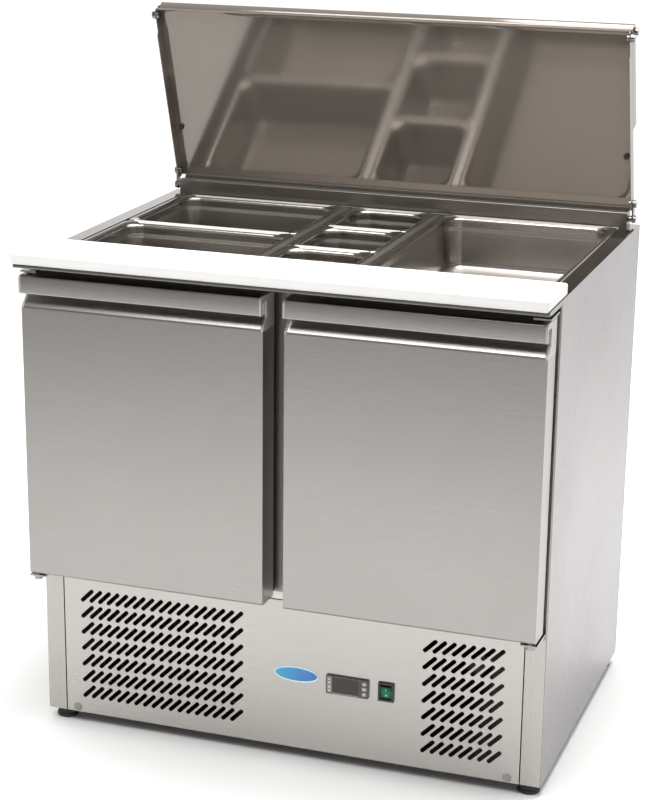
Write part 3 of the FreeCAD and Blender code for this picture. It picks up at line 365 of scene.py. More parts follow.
def soft_steel(name, color, roughness, metallic, waves=0.0):
    """Steel under a thin film, so that it keeps some of its own colour in shade."""
    material = steel(name, color, roughness, "x", 0.02, 0.02, 0.02, waves)
    material.node_tree.nodes["Principled BSDF"].inputs["Metallic"].default_value = metallic
    return material


def pan_metal():
    """Drawn steel: satin walls and a duller, blasted floor."""
    material = steel("pan_steel", (0.43, 0.405, 0.375), 0.24, "y", 0.03, 0.04, 0.03)
    tree = material.node_tree
    shader = tree.nodes["Principled BSDF"]
    floor_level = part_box("pan_full")[0].z
    dull = spread(tree, own_axis(tree, "Z"), 1, 0, floor_level + 3 * MM, floor_level + 12 * MM)
    satin = shader.inputs["Roughness"].links[0].from_socket
    rougher = add(tree, "ShaderNodeMath", operation="ADD")
    tree.links.new(satin, rougher.inputs[0])
    tree.links.new(spread(tree, dull, 0, 0.28, 0, 1), rougher.inputs[1])
    tree.links.new(rougher.outputs["Value"], shader.inputs["Roughness"])
    tree.links.new(spread(tree, dull, 1, 0.55, 0, 1), shader.inputs["Metallic"])
    return material


MATERIALS = {
    "brushed_steel": steel("door_steel", (0.352, 0.34, 0.328), 0.30, "x", 0.02, 0.02, 0.05),
    "lid_steel": steel("lid_steel", (0.46, 0.42, 0.385), 0.10, "x", 0.02, 0.02, 0.02, 0.01),
    # Painted shade: a darker, half-matt copy of the lid steel for the lids' inner faces.
    "shaded_lid_inside": soft_steel("shaded_lid_inside", (0.232, 0.205, 0.182), 0.10, 0.58, 0.01),
    "pan_steel": pan_metal(),
    "case_steel": steel("case_steel", (0.46, 0.443, 0.421), 0.30, "x", 0.02, 0.02, 0.05),
    "worktop_steel": steel("worktop_steel", (0.18, 0.168, 0.155), 0.14, "x", 0.02, 0.03, 0.03, 0.01),
    "link_steel": steel("link_steel", (0.26, 0.25, 0.24), 0.22, "z", 0.03, 0.04, 0.02),
    # Painted light: a lighter, half-matt copy of the door steel for the finger recess.
    "lit_recess_steel": soft_steel("lit_recess_steel", (0.50, 0.46, 0.43), 0.40, 0.5),
    # Painted shade: a darker copy of the case steel for the rear riser.
    "shaded_riser_steel": steel("shaded_riser_steel", (0.25, 0.228, 0.205), 0.30, "x", 0.02, 0.03, 0.03),
    # Painted highlight: a light, half-matt copy of the pan steel for the rims along X.
    "rim_highlight_steel": soft_steel("rim_highlight_steel", (0.72, 0.70, 0.67), 0.34, 0.45),
    # Painted light and shade: front-facing faces of the side sheet get this lighter copy of the steel, its
    # side wall gets the darker one below.
    "lit_flange_steel": steel("lit_flange_steel", (0.42, 0.404, 0.38), 0.28, "z", 0.01, 0.02, 0.03),
    "shaded_side_steel": steel("shaded_side_steel", (0.255, 0.243, 0.246), 0.26, "z", 0.01, 0.03, 0.03, 0.01),
    # Painted shade: the zinc parts inside the machine compartment get a near-black tone.
    "zinc_steel": galvanised("zinc_steel", (0.12, 0.12, 0.122)),
    "back_zinc": back_sheet(),
    "bright_steel": steel("bright_steel", (0.72, 0.71, 0.70), 0.14, "z", 0.03, 0.04, 0.02),
    "board_white": board_plastic(),
    "grey_plastic": plastic("grey_plastic", (0.27, 0.27, 0.26), 0.36, 0.06),
    "cap_plastic": plastic("cap_plastic", (0.42, 0.41, 0.39), 0.32, 0.05),
    "bezel_plastic": plastic("bezel_plastic", (0.055, 0.052, 0.05), 0.3, 0.1, 0.2),
    "foil": plastic("keypad_foil", (0.27, 0.265, 0.25), 0.34, 0.04, 0.0, 0.05),
    "print_white": plastic("print_white", (0.85, 0.85, 0.82), 0.45, 0.02, 0.0, 0.02),
    "badge_rim": plastic("badge_rim", (0.72, 0.93, 0.97), 0.2, 0.03, 0.6, 0.02),
    "black_plastic": plastic("black_plastic", (0.022, 0.022, 0.024), 0.38, 0.2),
    "window_plastic": plastic("window_plastic", (0.022, 0.018, 0.016), 0.2, 0.15, 0.15, 0.02),
    "green_plastic": rocker_lens(),
    "badge_blue": badge_enamel(),
    "black_rubber": rubber("black_rubber"),
    "insulation": foam_core(),
    "white_liner": steel("liner_steel", (0.62, 0.61, 0.59), 0.32, "z", 0.02, 0.04, 0.05),
    # Painted shade: the condenser coil behind the grille gets a near-black tone.
    "shaded_fins": steel("shaded_fins", (0.05, 0.048, 0.045), 0.5, "z", 0.1, 0.06, 0.2),
    # Door frame steel, darkened above the sill with painted shade.
    "shaded_frame_steel": shaded_frame_steel(),
    "bracket_steel": steel("bracket_steel", (0.30, 0.29, 0.28), 0.2, "z", 0.03, 0.04, 0.02),
    "fin_aluminium": steel("fin_aluminium", (0.78, 0.79, 0.80), 0.32, "z", 0.05, 0.06, 0.1),
    "copper": steel("copper_tube", (0.72, 0.38, 0.24), 0.26, "z", 0.08, 0.08, 0.04),
    "black_enamel": plastic("black_enamel", (0.014, 0.014, 0.016), 0.22, 0.2, 0.5, 0.05),
    "wire_coated": steel("plated_wire", (0.74, 0.74, 0.76), 0.2, "y", 0.05, 0.05, 0.04),
}
SPECIAL = {                  # shown CAD nodes whose look differs from the rest of their slot
    "back_panel": "back_zinc", "door_frame": "shaded_frame_steel", "hinge_brackets": "bracket_steel",
    "door_end_caps_left": "cap_plastic", "door_end_caps_right": "cap_plastic",
    "condenser_coil": "shaded_fins", "lid_links": "link_steel", "fold_links": "link_steel",
}


def dress_cad_nodes():
    """Every CAD node gets the material of its slot in the record, or its special one."""
    slots = {row["node"]: row["material_slot"] for row in frame["record"]["subparts"]}
    for name, node in NODES.items():
        node.data.materials.clear()
        node.data.materials.append(MATERIALS[SPECIAL.get(name, slots[name])])


# ---------------------------------------------------------------- mesh helpers
ARC_STEPS = 6


def rounded(corners, steps=ARC_STEPS):
    """Closed outline of (a, b) points through (a, b, radius) corners, each corner a tangent arc."""
    outline = []
    count = len(corners)
    for i, (a, b, radius) in enumerate(corners):
        corner = Vector((a, b))
        if radius <= 0:
            outline.append(corner)
            continue
        before = (Vector(corners[i - 1][:2]) - corner).normalized()
        after = (Vector(corners[(i + 1) % count][:2]) - corner).normalized()
        half_angle = before.angle(after) / 2
        centre = corner + (before + after).normalized() * (radius / math.sin(half_angle))
        start = corner + before * (radius / math.tan(half_angle)) - centre
        end = corner + after * (radius / math.tan(half_angle)) - centre
        turn = start.angle_signed(end)
        for step in range(steps + 1):
            angle = -turn * step / steps
            spun = Vector((start.x * math.cos(angle) - start.y * math.sin(angle),
                           start.x * math.sin(angle) + start.y * math.cos(angle)))
            outline.append(centre + spun)
    return outline


def placed(axis, along, a, b):
    """Point with along on the given axis and a, b on the two others, in xyz order."""
    if axis == "x":
        return Vector((along, a, b))
    if axis == "y":
        return Vector((a, along, b))
    return Vector((a, b, along))


def extrude(bm, outline, axis, start, end):
    """Closed prism of a flat outline along an axis."""
    near = [bm.verts.new(placed(axis, start, *p)) for p in outline]
    far = [bm.verts.new(placed(axis, end, *p)) for p in outline]
    count = len(outline)
    faces = [bm.faces.new(near), bm.faces.new(far[::-1])]
    for i in range(count):
        j = (i + 1) % count
        faces.append(bm.faces.new((near[j], near[i], far[i], far[j])))
    return faces


def block(bm, x0, x1, y0, y1, z0, z1):
    """Box between two corners."""
    return extrude(bm, [(x0, y0), (x1, y0), (x1, y1), (x0, y1)], "z", z0, z1)


def loft(bm, rings, cap_start=True, cap_end=True):
    """Skin of quads through rings of points that all have the same count."""
    rows = [[bm.verts.new(p) for p in ring] for ring in rings]
    count = len(rows[0])
    for low, high in zip(rows, rows[1:]):
        for i in range(count):
            j = (i + 1) % count
            bm.faces.new((low[i], low[j], high[j], high[i]))
    if cap_start:
        bm.faces.new(rows[0][::-1])
    if cap_end:
        bm.faces.new(rows[-1])


def disc_ring(centre, axis, radius, along, steps=32):
    """Circle of points about an axis through centre."""
    a0, b0 = [value for letter, value in zip("xyz", centre) if letter != axis]
    ring = []
    for i in range(steps):
        angle = 2 * math.pi * i / steps
        ring.append(placed(axis, along, a0 + radius * math.cos(angle), b0 + radius * math.sin(angle)))
    return ring


def turned(bm, centre, axis, profile, steps=32):
    """Solid of revolution through (radius, along) points about an axis."""
    loft(bm, [disc_ring(centre, axis, radius, along, steps) for radius, along in profile])


def finish_mesh(bm, name):
    """Mesh of a bmesh, with its faces looking outward and shaded smooth."""
    bmesh.ops.recalc_face_normals(bm, faces=bm.faces)
    for face in bm.faces:
        face.smooth = True
    mesh = bpy.data.meshes.new(name)
    bm.to_mesh(mesh)
    bm.free()
    return mesh


def sharpen(mesh, degrees=35):
    """Keeps the edges sharper than an angle crisp."""
    bm = bmesh.new()
    bm.from_mesh(mesh)
    for edge in bm.edges:
        if len(edge.link_faces) == 2:
            edge.smooth = edge.calc_face_angle(0) < math.radians(degrees)
    bm.to_mesh(mesh)
    bm.free()


def round_edges(obj, width, segments=3, degrees=40):
    """Soft edges, with the flat faces kept flat."""
    made = obj.modifiers.new("soft_edges", "BEVEL")
    made.width = width
    made.segments = segments
    made.limit_method = "ANGLE"
    made.angle_limit = math.radians(degrees)
    made.harden_normals = True
    made.miter_outer = "MITER_ARC"


def even_normals(obj):
    """Keeps large flat faces looking flat beside small bends."""
    obj.modifiers.new("even_normals", "WEIGHTED_NORMAL").keep_sharp = True


def piece(name, bm, body, slot, stands_for=(), material=None, edge=0.0, segments=3, wall=0.0):
    """Turns a bmesh into a shown piece that rides on a body."""
    mesh = finish_mesh(bm, name)
    mesh.materials.append(material or MATERIALS[slot])
    obj = new_object(name, mesh)
    if edge:
        round_edges(obj, edge, segments)
    else:
        sharpen(mesh)
    if wall:
        made = obj.modifiers.new("wall", "SOLIDIFY")
        made.thickness = wall
        made.offset = -1.0
    if not edge:
        even_normals(obj)
    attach(obj, body)
    if stands_for:
        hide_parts(*stands_for)
    return obj


def cut_away(obj, bm_tool):
    """Subtracts a closed tool mesh from a piece's own mesh, before its other modifiers."""
    tool = new_object("tool", finish_mesh(bm_tool, "tool"))
    made = obj.modifiers.new("cut", "BOOLEAN")
    made.operation = "DIFFERENCE"
    made.solver = "EXACT"
    made.object = tool
    others = [other for other in obj.modifiers if other != made]
    for other in others:
        other.show_viewport = False
    graph = bpy.context.evaluated_depsgraph_get()
    cut = bpy.data.meshes.new_from_object(obj.evaluated_get(graph))
    obj.modifiers.remove(made)
    for other in others:
        other.show_viewport = True
    bpy.data.objects.remove(tool)
    old = obj.data
    obj.data = cut
    bpy.data.meshes.remove(old)
    if not any(other.type == "BEVEL" for other in others):
        sharpen(obj.data)


# ---------------------------------------------------------------- doors
LIP_PROUD = 8 * MM           # the rolled lip stands this far in front of the door's face
LIP_TALL = 31 * MM
LIP_THICK = 6 * MM
LIP_TOP_BEND = 4.5 * MM
LIP_EDGE_BEND = 2.8 * MM
GRIP_ROOF = 10 * MM          # metal above the finger recess
GRIP_DEEP = 26 * MM          # from the lip's front to the back of the recess
GRIP_SILL = 34 * MM          # from the door's top down to the low edge of the recess's back
FACE_DOWN = 55 * MM          # from the door's top down to the flat face
FACE_BEND = 6 * MM           # soft bend from the face into the finger recess
SKIN_FOLD = 1.2 * MM         # softened outer edges
END_CAP = 4 * MM
CAP_LAP = 3 * MM
SKIN_SHORT = 0.5 * MM        # the skin ends this far in front of the inner liner's face
RECESS_MARGIN = 1 * MM
PIN_FROM_END = 10 * MM       # hinge pin's axis, from the door's end and from its face
PIN_FROM_FACE = 12 * MM
PIN_HOLE = 4.6 * MM          # radius
LOW_HOLE_DEEP = 16 * MM
HIGH_HOLE_DEEP = 8.5 * MM
CLEAR = 50 * MM              # cutting tools reach this far past the metal


def door_skin(side):
    """Brushed outer skin, with the finger recess and lip rolled along its top and softly folded edges."""
    low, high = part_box("door_shell_" + side)
    top = high.z
    front = low.y
    face = front + LIP_PROUD
    back = high.y - SKIN_SHORT
    grip_back = front + GRIP_DEEP
    outline = rounded([
        (back, low.z, 0), (face, low.z, 6 * MM), (face, top - FACE_DOWN, FACE_BEND),
        (grip_back, top - GRIP_SILL, 3 * MM), (grip_back, top - GRIP_ROOF, 4 * MM),
        (front + LIP_THICK, top - GRIP_ROOF, 3 * MM), (front + LIP_THICK, top - LIP_TALL, LIP_EDGE_BEND),
        (front, top - LIP_TALL, LIP_EDGE_BEND), (front, top, LIP_TOP_BEND), (back, top, 0)])
    bm = bmesh.new()
    extrude(bm, outline, "x", low.x, high.x)
    skin = piece("door_skin_" + side, bm, "door_" + side, "brushed_steel", ["door_shell_" + side],
                 edge=SKIN_FOLD)
    # Painted light: the finger recess gets a lighter, half-matt copy of the door steel.
    skin.data.materials.append(MATERIALS["lit_recess_steel"])
    for polygon in skin.data.polygons:
        y, z = polygon.center.yz
        in_height = top - GRIP_SILL - RECESS_MARGIN < z < top - GRIP_ROOF + RECESS_MARGIN
        if in_height and front + LIP_THICK + RECESS_MARGIN < y < grip_back + RECESS_MARGIN:
            polygon.material_index = 1
    cap_low = top - FACE_DOWN - CAP_LAP
    for end_x in (low.x, high.x):
        tool = bmesh.new()
        block(tool, end_x - END_CAP, end_x + END_CAP, front - CLEAR, back + CLEAR, cap_low, top + CLEAR)
        cut_away(skin, tool)
    pin_x = high.x - PIN_FROM_END if side == "right" else low.x + PIN_FROM_END
    for hole_low, hole_high in ((low.z - CLEAR, low.z + LOW_HOLE_DEEP), (top - HIGH_HOLE_DEEP, top + CLEAR)):
        tool = bmesh.new()
        turned(tool, (pin_x, face + PIN_FROM_FACE, 0), "z", [(PIN_HOLE, hole_low), (PIN_HOLE, hole_high)])
        cut_away(skin, tool)


# ---------------------------------------------------------------- worktop
BOARD_EDGE = 4 * MM


def soft_board():
    """Cutting board with rounded corners and edges."""
    low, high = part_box("cutting_board")
    bm = bmesh.new()
    corners = ((low.x, low.y), (high.x, low.y), (high.x, high.y), (low.x, high.y))
    extrude(bm, rounded([(*corner, BOARD_EDGE) for corner in corners]), "z", low.z, high.z)
    piece("cutting_board_soft", bm, "board", "board_white", ["cutting_board"], edge=BOARD_EDGE, segments=5)


RIM_WIDE = 13 * MM
RIM_CORNER = 14 * MM
RIM_HIGHLIGHT_DROP = 1.4 * MM          # the painted highlight band reaches this far below the top of the rim
PAN_SHEET = 0.8 * MM
PAN_FLOOR_ROLL = 20.0        # radius from wall to floor, in millimetres like the three below
PAN_WALL_INSET = 20.6        # foot of the tapered wall, from the rim's outside
PAN_WALL_CORNER = 24.5       # its radius in plan
PAN_CORNER_LOSS = 1.4        # the plan radius shrinks by this at each step of the floor's roll


def plan_ring(low, high, inset, radius, z, steps=8):
    """Rounded rectangle inset from a box's sides, as points at one height."""
    x0, x1 = low.x + inset, high.x - inset
    y0, y1 = low.y + inset, high.y - inset
    ring = rounded([(x0, y0, radius), (x1, y0, radius), (x1, y1, radius), (x0, y1, radius)], steps)
    return [Vector((p.x, p.y, z)) for p in ring]


def pan_sections(depth):
    """(inset from the rim's outside, depth under its top, corner radius) from rolled edge to floor."""
    sections = [(0.9, 4.0, 13.2), (0.2, 3.4, 13.8), (0, 2.6, 14), (0.2, 1.6, 13.9), (0.9, 0.7, 13.4),
                (2.0, 0.2, 12.6), (3.4, 0.0, 13), (5.6, 0.25, 18), (7.6, 0.9, 23), (9.4, 1.9, 26),
                (10.9, 3.3, 28), (12.1, 5.0, 29.2), (12.8, 7.0, 29.8), (13.0, 9.0, 30), (13.1, 18.0, 30),
                (13.4, 20.5, 29.7), (14.0, 22.5, 29.2), (14.6, 24.5, 28.6), (14.9, 27.0, 28.3)]
    wall_bottom = depth / MM - PAN_FLOOR_ROLL - 1
    steps = 7
    for step in range(steps + 1):
        angle = math.radians(90.0 * step / steps)
        sections.append((PAN_WALL_INSET + PAN_FLOOR_ROLL * (1 - math.cos(angle)),
                         wall_bottom + PAN_FLOOR_ROLL * math.sin(angle),
                         PAN_WALL_CORNER - PAN_CORNER_LOSS * step))
    return [(inset * MM, down * MM, radius * MM) for inset, down, radius in sections]


def food_pan(name):
    """Deep-drawn pan: rolled rim with webbed corners, stacking shoulder, tapered walls, rounded floor."""
    low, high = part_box(name)
    bm = bmesh.new()
    rings = [plan_ring(low, high, inset, radius, high.z - down)
             for inset, down, radius in pan_sections(high.z - low.z)]
    loft(bm, rings, cap_start=False)
    obj = piece(name + "_drawn", bm, name, "pan_steel", [name], wall=PAN_SHEET)
    pan_floor = min(obj.data.polygons, key=lambda face: abs(face.center.z - low.z))
    if pan_floor.normal.z < 0:
        obj.data.flip_normals()
    # Painted highlight: the straight rims that run along X get a light, half-matt copy of the pan steel; the
    # rims along Y keep the pan steel.
    obj.data.materials.append(MATERIALS["rim_highlight_steel"])
    straight = (high.x - low.x) / 2 - RIM_WIDE - RIM_CORNER
    for face in obj.data.polygons:
        if face.center.z > high.z - RIM_HIGHLIGHT_DROP and abs(face.center.x - (low.x + high.x) / 2) < straight:
            face.material_index = 1


# ---------------------------------------------------------------- bent sheet metal
SHEET = 1.2 * MM
BEND = 2.4 * MM


def bent_sheet(path, thick=SHEET, bend=BEND):
    """Closed outline of a sheet that lies to the left of a path of (a, b) points, its outer face."""
    points = [Vector(point) for point in path]
    ways = [(after - before).normalized() for before, after in zip(points, points[1:])]
    lefts = [Vector((-way.y, way.x)) for way in ways]
    outer = [(*points[0], 0)]
    inner = [(*(points[0] + lefts[0] * thick), 0)]
    for i in range(1, len(points) - 1):
        inward = ways[i - 1].cross(ways[i]) > 0
        shift = (lefts[i - 1] + lefts[i]) * (thick / (1 + lefts[i - 1].dot(lefts[i])))
        outer.append((*points[i], bend if inward else bend - thick))
        inner.append((*(points[i] + shift), bend - thick if inward else bend))
    outer.append((*points[-1], 0))
    inner.append((*(points[-1] + lefts[-1] * thick), 0))
    return rounded(outer + inner[::-1])


FLANGE = 34.5 * MM           # front return of a side panel
REAR_RETURN = 20 * MM
JAMB_FOOT = 4 * MM
JAMB_TOP = 288 * MM
JAMB_DEEP = 14 * MM


def side_sheet(side):
    """Side panel bent from one sheet: front flange, wall, rear and foot returns, jamb by the grille."""
    name = "side_panel_" + side
    low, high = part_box(name)
    out = 1 if side == "right" else -1
    wall = high.x if side == "right" else -low.x
    outline = bent_sheet([(wall - FLANGE, low.y), (wall, low.y), (wall, high.y),
                          (wall - REAR_RETURN, high.y)])
    bm = bmesh.new()
    extrude(bm, [(out * a, b) for a, b in outline], "z", low.z, high.z)
    edge = wall - FLANGE
    block(bm, out * edge, out * (edge + SHEET), low.y + SHEET / 2, low.y + JAMB_DEEP,
          low.z + JAMB_FOOT, JAMB_TOP)
    block(bm, out * (wall - REAR_RETURN), out * (wall - SHEET), low.y + SHEET, high.y - SHEET,
          low.z, low.z + SHEET)
    obj = piece("side_sheet_" + side, bm, "cabinet", "case_steel", [name], MATERIALS["shaded_side_steel"])
    # Painted light and shade: on the one bent sheet, the faces that look to the front get a lighter copy of
    # the steel than the side wall.
    obj.data.materials.append(MATERIALS["lit_flange_steel"])
    for face in obj.data.polygons:
        if face.normal.y < -0.9:
            face.material_index = 1


WELL_X = 422 * MM            # pan well: half width, front, rear, and its corners in plan
WELL_FRONT = -222 * MM
WELL_REAR = 312 * MM
WELL_CORNER = 3 * MM
WELL_BEND = 1.6 * MM
LEDGE = 10 * MM              # ledge that carries the pans' rims
LEDGE_DOWN = 2.8 * MM
SKIRT_DOWN = 18 * MM
NOSE = 2.5 * MM              # the plate's front edge turns down over this depth
NOSE_TALL = 8 * MM
NOSE_HEM = 12 * MM
PLATE_ROUND = 0.4 * MM       # least radius of a corner in plan
CASE_FRONT = -257 * MM       # front face of the case and of the grille panel


def bend_points(centre, radius, start, end, steps=4):
    """(outward, up) points of a quarter bend."""
    points = []
    for step in range(steps + 1):
        angle = math.radians(start + (end - start) * step / steps)
        points.append((centre[0] + radius * math.cos(angle), centre[1] + radius * math.sin(angle)))
    return points


def worktop():
    """Worktop sheet: bent well edge, sunk ledge under the pans, skirt, and the nose over the doors."""
    low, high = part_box("top_frame")
    well_low = Vector((-WELL_X, WELL_FRONT, 0))
    well_high = Vector((WELL_X, WELL_REAR, 0))
    r = WELL_BEND
    skin = bend_points((r, -r), r, 90, 180)
    skin += [(0, r / 2 - LEDGE_DOWN), (-r / 2, -LEDGE_DOWN)]
    skin += bend_points((r - LEDGE, -LEDGE_DOWN - r), r, 90, 180)
    skin += [(-LEDGE, -SKIRT_DOWN), (SHEET - LEDGE, -SKIRT_DOWN), (SHEET - LEDGE, -LEDGE_DOWN - SHEET),
             (SHEET, -LEDGE_DOWN - SHEET), (SHEET, -SHEET)]
    plate_low = Vector((low.x, low.y + NOSE, 0))
    rings = [plan_ring(plate_low, high, 0, PLATE_ROUND, high.z)]
    for outward, up in skin:
        corner = max(PLATE_ROUND, WELL_CORNER + outward)
        rings.append(plan_ring(well_low, well_high, -outward, corner, high.z + up))
    rings.append(plan_ring(plate_low, high, 0, PLATE_ROUND, high.z - SHEET))
    rings.append(rings[0])
    bm = bmesh.new()
    loft(bm, rings, cap_start=False, cap_end=False)
    bmesh.ops.remove_doubles(bm, verts=bm.verts, dist=0.01 * MM)
    nose_low = high.z - NOSE_TALL
    extrude(bm, bent_sheet([(low.y + NOSE, high.z), (low.y, high.z), (low.y, nose_low),
                            (low.y + NOSE_HEM, nose_low)]), "x", low.x, high.x)
    for x0, x1 in ((low.x, low.x + SHEET), (high.x - SHEET, high.x)):
        block(bm, x0, x1, low.y + SHEET, CASE_FRONT, nose_low, high.z - SHEET)
    piece("worktop_sheet", bm, "cabinet", "case_steel", ["top_frame"], MATERIALS["worktop_steel"])


RISER_BOLT = (333 * MM, 863 * MM)
RISER_BOLT_HOLE = 4.05 * MM  # radius
RISER_HEM = 2.6 * MM         # doubled hem along the rail's rear edge, closing the slit under the open lid
RISER_HEM_UP = 4.3 * MM
RISER_HEM_ROUND = 0.6 * MM


def riser():
    """Rear rail bent from one sheet, with end plates that take the lid's lower bolts."""
    low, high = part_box("riser_box")
    bm = bmesh.new()
    extrude(bm, bent_sheet([(high.y, low.z), (high.y, high.z), (low.y, high.z), (low.y, low.z)]),
            "x", low.x, high.x)
    hem_front = high.y - RISER_HEM
    hem = [(hem_front, high.z - SHEET), (high.y, high.z - SHEET), (high.y, high.z + RISER_HEM_UP),
           (hem_front, high.z + RISER_HEM_UP)]
    extrude(bm, rounded([(y, z, RISER_HEM_ROUND) for y, z in hem]), "x", low.x, high.x)
    # Painted shade: the rail gets a darker copy of the case steel.
    piece("riser_rail", bm, "cabinet", "case_steel", ["riser_box"], MATERIALS["shaded_riser_steel"])
    bm = bmesh.new()
    for x0, x1 in ((low.x, low.x + SHEET), (high.x - SHEET, high.x)):
        block(bm, x0, x1, low.y + SHEET, high.y - SHEET, low.z, high.z - SHEET)
    # The end plates get the same painted-shade steel.
    ends = piece("riser_ends", bm, "cabinet", "case_steel", material=MATERIALS["shaded_riser_steel"])
    tool = bmesh.new()
    turned(tool, (0, *RISER_BOLT), "x", [(RISER_BOLT_HOLE, low.x - BEND), (RISER_BOLT_HOLE, high.x + BEND)])
    cut_away(ends, tool)


LID_OPEN = math.radians(72)
LID_UNDERSIDE = Vector((0, -math.sin(LID_OPEN), -math.cos(LID_OPEN)))
LID_EDGE = 0.35 * MM
VENT_EDGE = 0.3 * MM


def soft_sheet(name, width, inside=None):
    """Carries a folded CAD sheet over as a new piece with slightly rounded edges.

    A material for the inside, on the lids a painted-shade copy of their steel, goes on every face but the
    lid's outer ones.
    """
    source = NODES[name]
    mesh = source.data.copy()
    mesh.name = name + "_soft"
    bm = bmesh.new()
    bm.from_mesh(mesh)
    bmesh.ops.remove_doubles(bm, verts=bm.verts, dist=0.005 * MM)
    bmesh.ops.dissolve_limit(bm, angle_limit=math.radians(0.5), verts=bm.verts, edges=bm.edges)
    bm.to_mesh(mesh)
    bm.free()
    obj = new_object(name + "_soft", mesh)
    for polygon in mesh.polygons:
        polygon.use_smooth = True
    round_edges(obj, width, 2)
    even_normals(obj)
    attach(obj, body_of(source)[0])
    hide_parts(name)
    if inside:
        mesh.materials.append(inside)
        for polygon in mesh.polygons:
            if polygon.normal.dot(LID_UNDERSIDE) > -0.5:
                polygon.material_index = 1


# ---------------------------------------------------------------- controls
PRINT = 0.08 * MM            # printed marks and foil stand this proud
BEZEL = (76 * MM, 34 * MM)   # thermostat: width and height of its parts, and places from its middle
BEZEL_CORNER = 2.5 * MM
BEZEL_BODY = (70 * MM, 28 * MM)
WINDOW = (46 * MM, 26 * MM)
WINDOW_X = -3 * MM
WINDOW_SUNK = 1.6 * MM
STRIP = (8.6 * MM, 29 * MM)
STRIP_X = -31.6 * MM
KEY_POCKET = (9.6 * MM, 8 * MM)
KEY_X = 30.5 * MM
KEY_PITCH = 9.6 * MM
KEY_CORNER = 1.5 * MM
KEY_SUNK = 3.5 * MM


def plate_outline(cx, cz, wide, tall, radius):
    """Rounded rectangle about a middle."""
    x, z = wide / 2, tall / 2
    return rounded([(cx - x, cz - z, radius), (cx + x, cz - z, radius), (cx + x, cz + z, radius),
                    (cx - x, cz + z, radius)])


def plaque(bm, cx, cz, wide, tall, front, back, radius=0.3 * MM):
    """Upright rounded plate whose face looks to -Y."""
    return extrude(bm, plate_outline(cx, cz, wide, tall, radius), "y", front, back)


def triangle(bm, cx, cz, size, up, front, back):
    """Arrow head that points up, or down when up is negative."""
    tip = cz + up * size * 0.5
    base = cz - up * size * 0.4
    extrude(bm, [(cx - size * 0.6, base), (cx + size * 0.6, base), (cx, tip)], "y", front, back)


def thermostat():
    """Digital thermostat: soft bezel, sunk window, keypad foil with plain symbols."""
    low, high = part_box("thermostat_housing")
    cx, cz = (low.x + high.x) / 2, (low.z + high.z) / 2
    bm = bmesh.new()
    plaque(bm, cx, cz, *BEZEL, low.y, CASE_FRONT, BEZEL_CORNER)
    bezel = piece("thermostat_bezel", bm, "cabinet", "black_plastic", ["thermostat_housing"],
                  MATERIALS["bezel_plastic"], edge=0.8 * MM)
    pocket = bmesh.new()
    plaque(pocket, cx + WINDOW_X, cz, *WINDOW, low.y - MM, low.y + WINDOW_SUNK, MM)
    cut_away(bezel, pocket)
    for row in (-1, 0, 1):
        pocket = bmesh.new()
        plaque(pocket, cx + KEY_X, cz + row * KEY_PITCH, *KEY_POCKET, low.y - MM, low.y + KEY_SUNK,
               KEY_CORNER)
        cut_away(bezel, pocket)
    bm = bmesh.new()
    plaque(bm, cx, cz, *BEZEL_BODY, CASE_FRONT, high.y, MM)
    piece("thermostat_body", bm, "cabinet", "black_plastic")
    bm = bmesh.new()
    strip_x = cx + STRIP_X
    plaque(bm, strip_x, cz, *STRIP, low.y - PRINT, low.y, MM)
    plaque(bm, cx + WINDOW_X, cz - 14.9 * MM, WINDOW[0], 1.6 * MM, low.y - PRINT, low.y)
    piece("keypad_foil", bm, "cabinet", "grey_plastic", material=MATERIALS["foil"])
    indicator_marks(strip_x, cz, low.y - 2 * PRINT, low.y - PRINT)
    for node, up in (("key_up", 1), ("key_set", 0), ("key_down", -1)):
        key_button(node, up)


def indicator_marks(strip_x, cz, front, back):
    """Printed marks beside the window: a star, a dot, two bars and an arrow."""
    bm = bmesh.new()
    for k in range(3):
        turn = math.pi * k / 3
        along = Vector((math.cos(turn), math.sin(turn))) * 2.1 * MM
        side = Vector((-along.y, along.x)) * 0.14
        spot = Vector((strip_x, cz + KEY_PITCH))
        extrude(bm, [spot - along - side, spot + along - side, spot + along + side, spot - along + side],
                "y", front, back)
    turned(bm, (strip_x, 0, cz + 3.4 * MM), "y", [(1.7 * MM, front), (1.7 * MM, back)], 16)
    plaque(bm, strip_x, cz - 3.2 * MM, 4.2 * MM, 1.1 * MM, front, back)
    plaque(bm, strip_x, cz - 5.4 * MM, 4.2 * MM, 1.1 * MM, front, back)
    triangle(bm, strip_x, cz - 10.6 * MM, 3.6 * MM, 1, front, back)
    piece("indicator_marks", bm, "cabinet", "grey_plastic", material=MATERIALS["print_white"])


def key_button(node, up):
    """Key cap with a printed arrow, or three bars when up is 0."""
    low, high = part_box(node)
    cx, cz = (low.x + high.x) / 2, (low.z + high.z) / 2
    bm = bmesh.new()
    plaque(bm, cx, cz, high.x - low.x, high.z - low.z, low.y + PRINT, high.y, KEY_CORNER)
    piece(node + "_cap", bm, node, "grey_plastic", [node], MATERIALS["foil"], edge=0.35 * MM)
    bm = bmesh.new()
    front, back = low.y, low.y + PRINT
    if up:
        triangle(bm, cx, cz, 3.8 * MM, up, front, back)
    else:
        for shift in (-1.7 * MM, 0, 1.7 * MM):
            plaque(bm, cx + shift, cz, 1.1 * MM, 3.2 * MM, front, back, 0.2 * MM)
    piece(node + "_mark", bm, node, "grey_plastic", material=MATERIALS["print_white"])


ROCKER_AXIS_Y = CASE_FRONT + 3 * MM
ROCKER_TILT = math.radians(10)
MARK_UP = 6.2 * MM           # bar above the rocker's axis and ring below it
MARK_FRONT = -5.68 * MM      # from the axis, before the tilt
BAR_DEEP = 0.38 * MM
RING_DEEP = 0.4 * MM


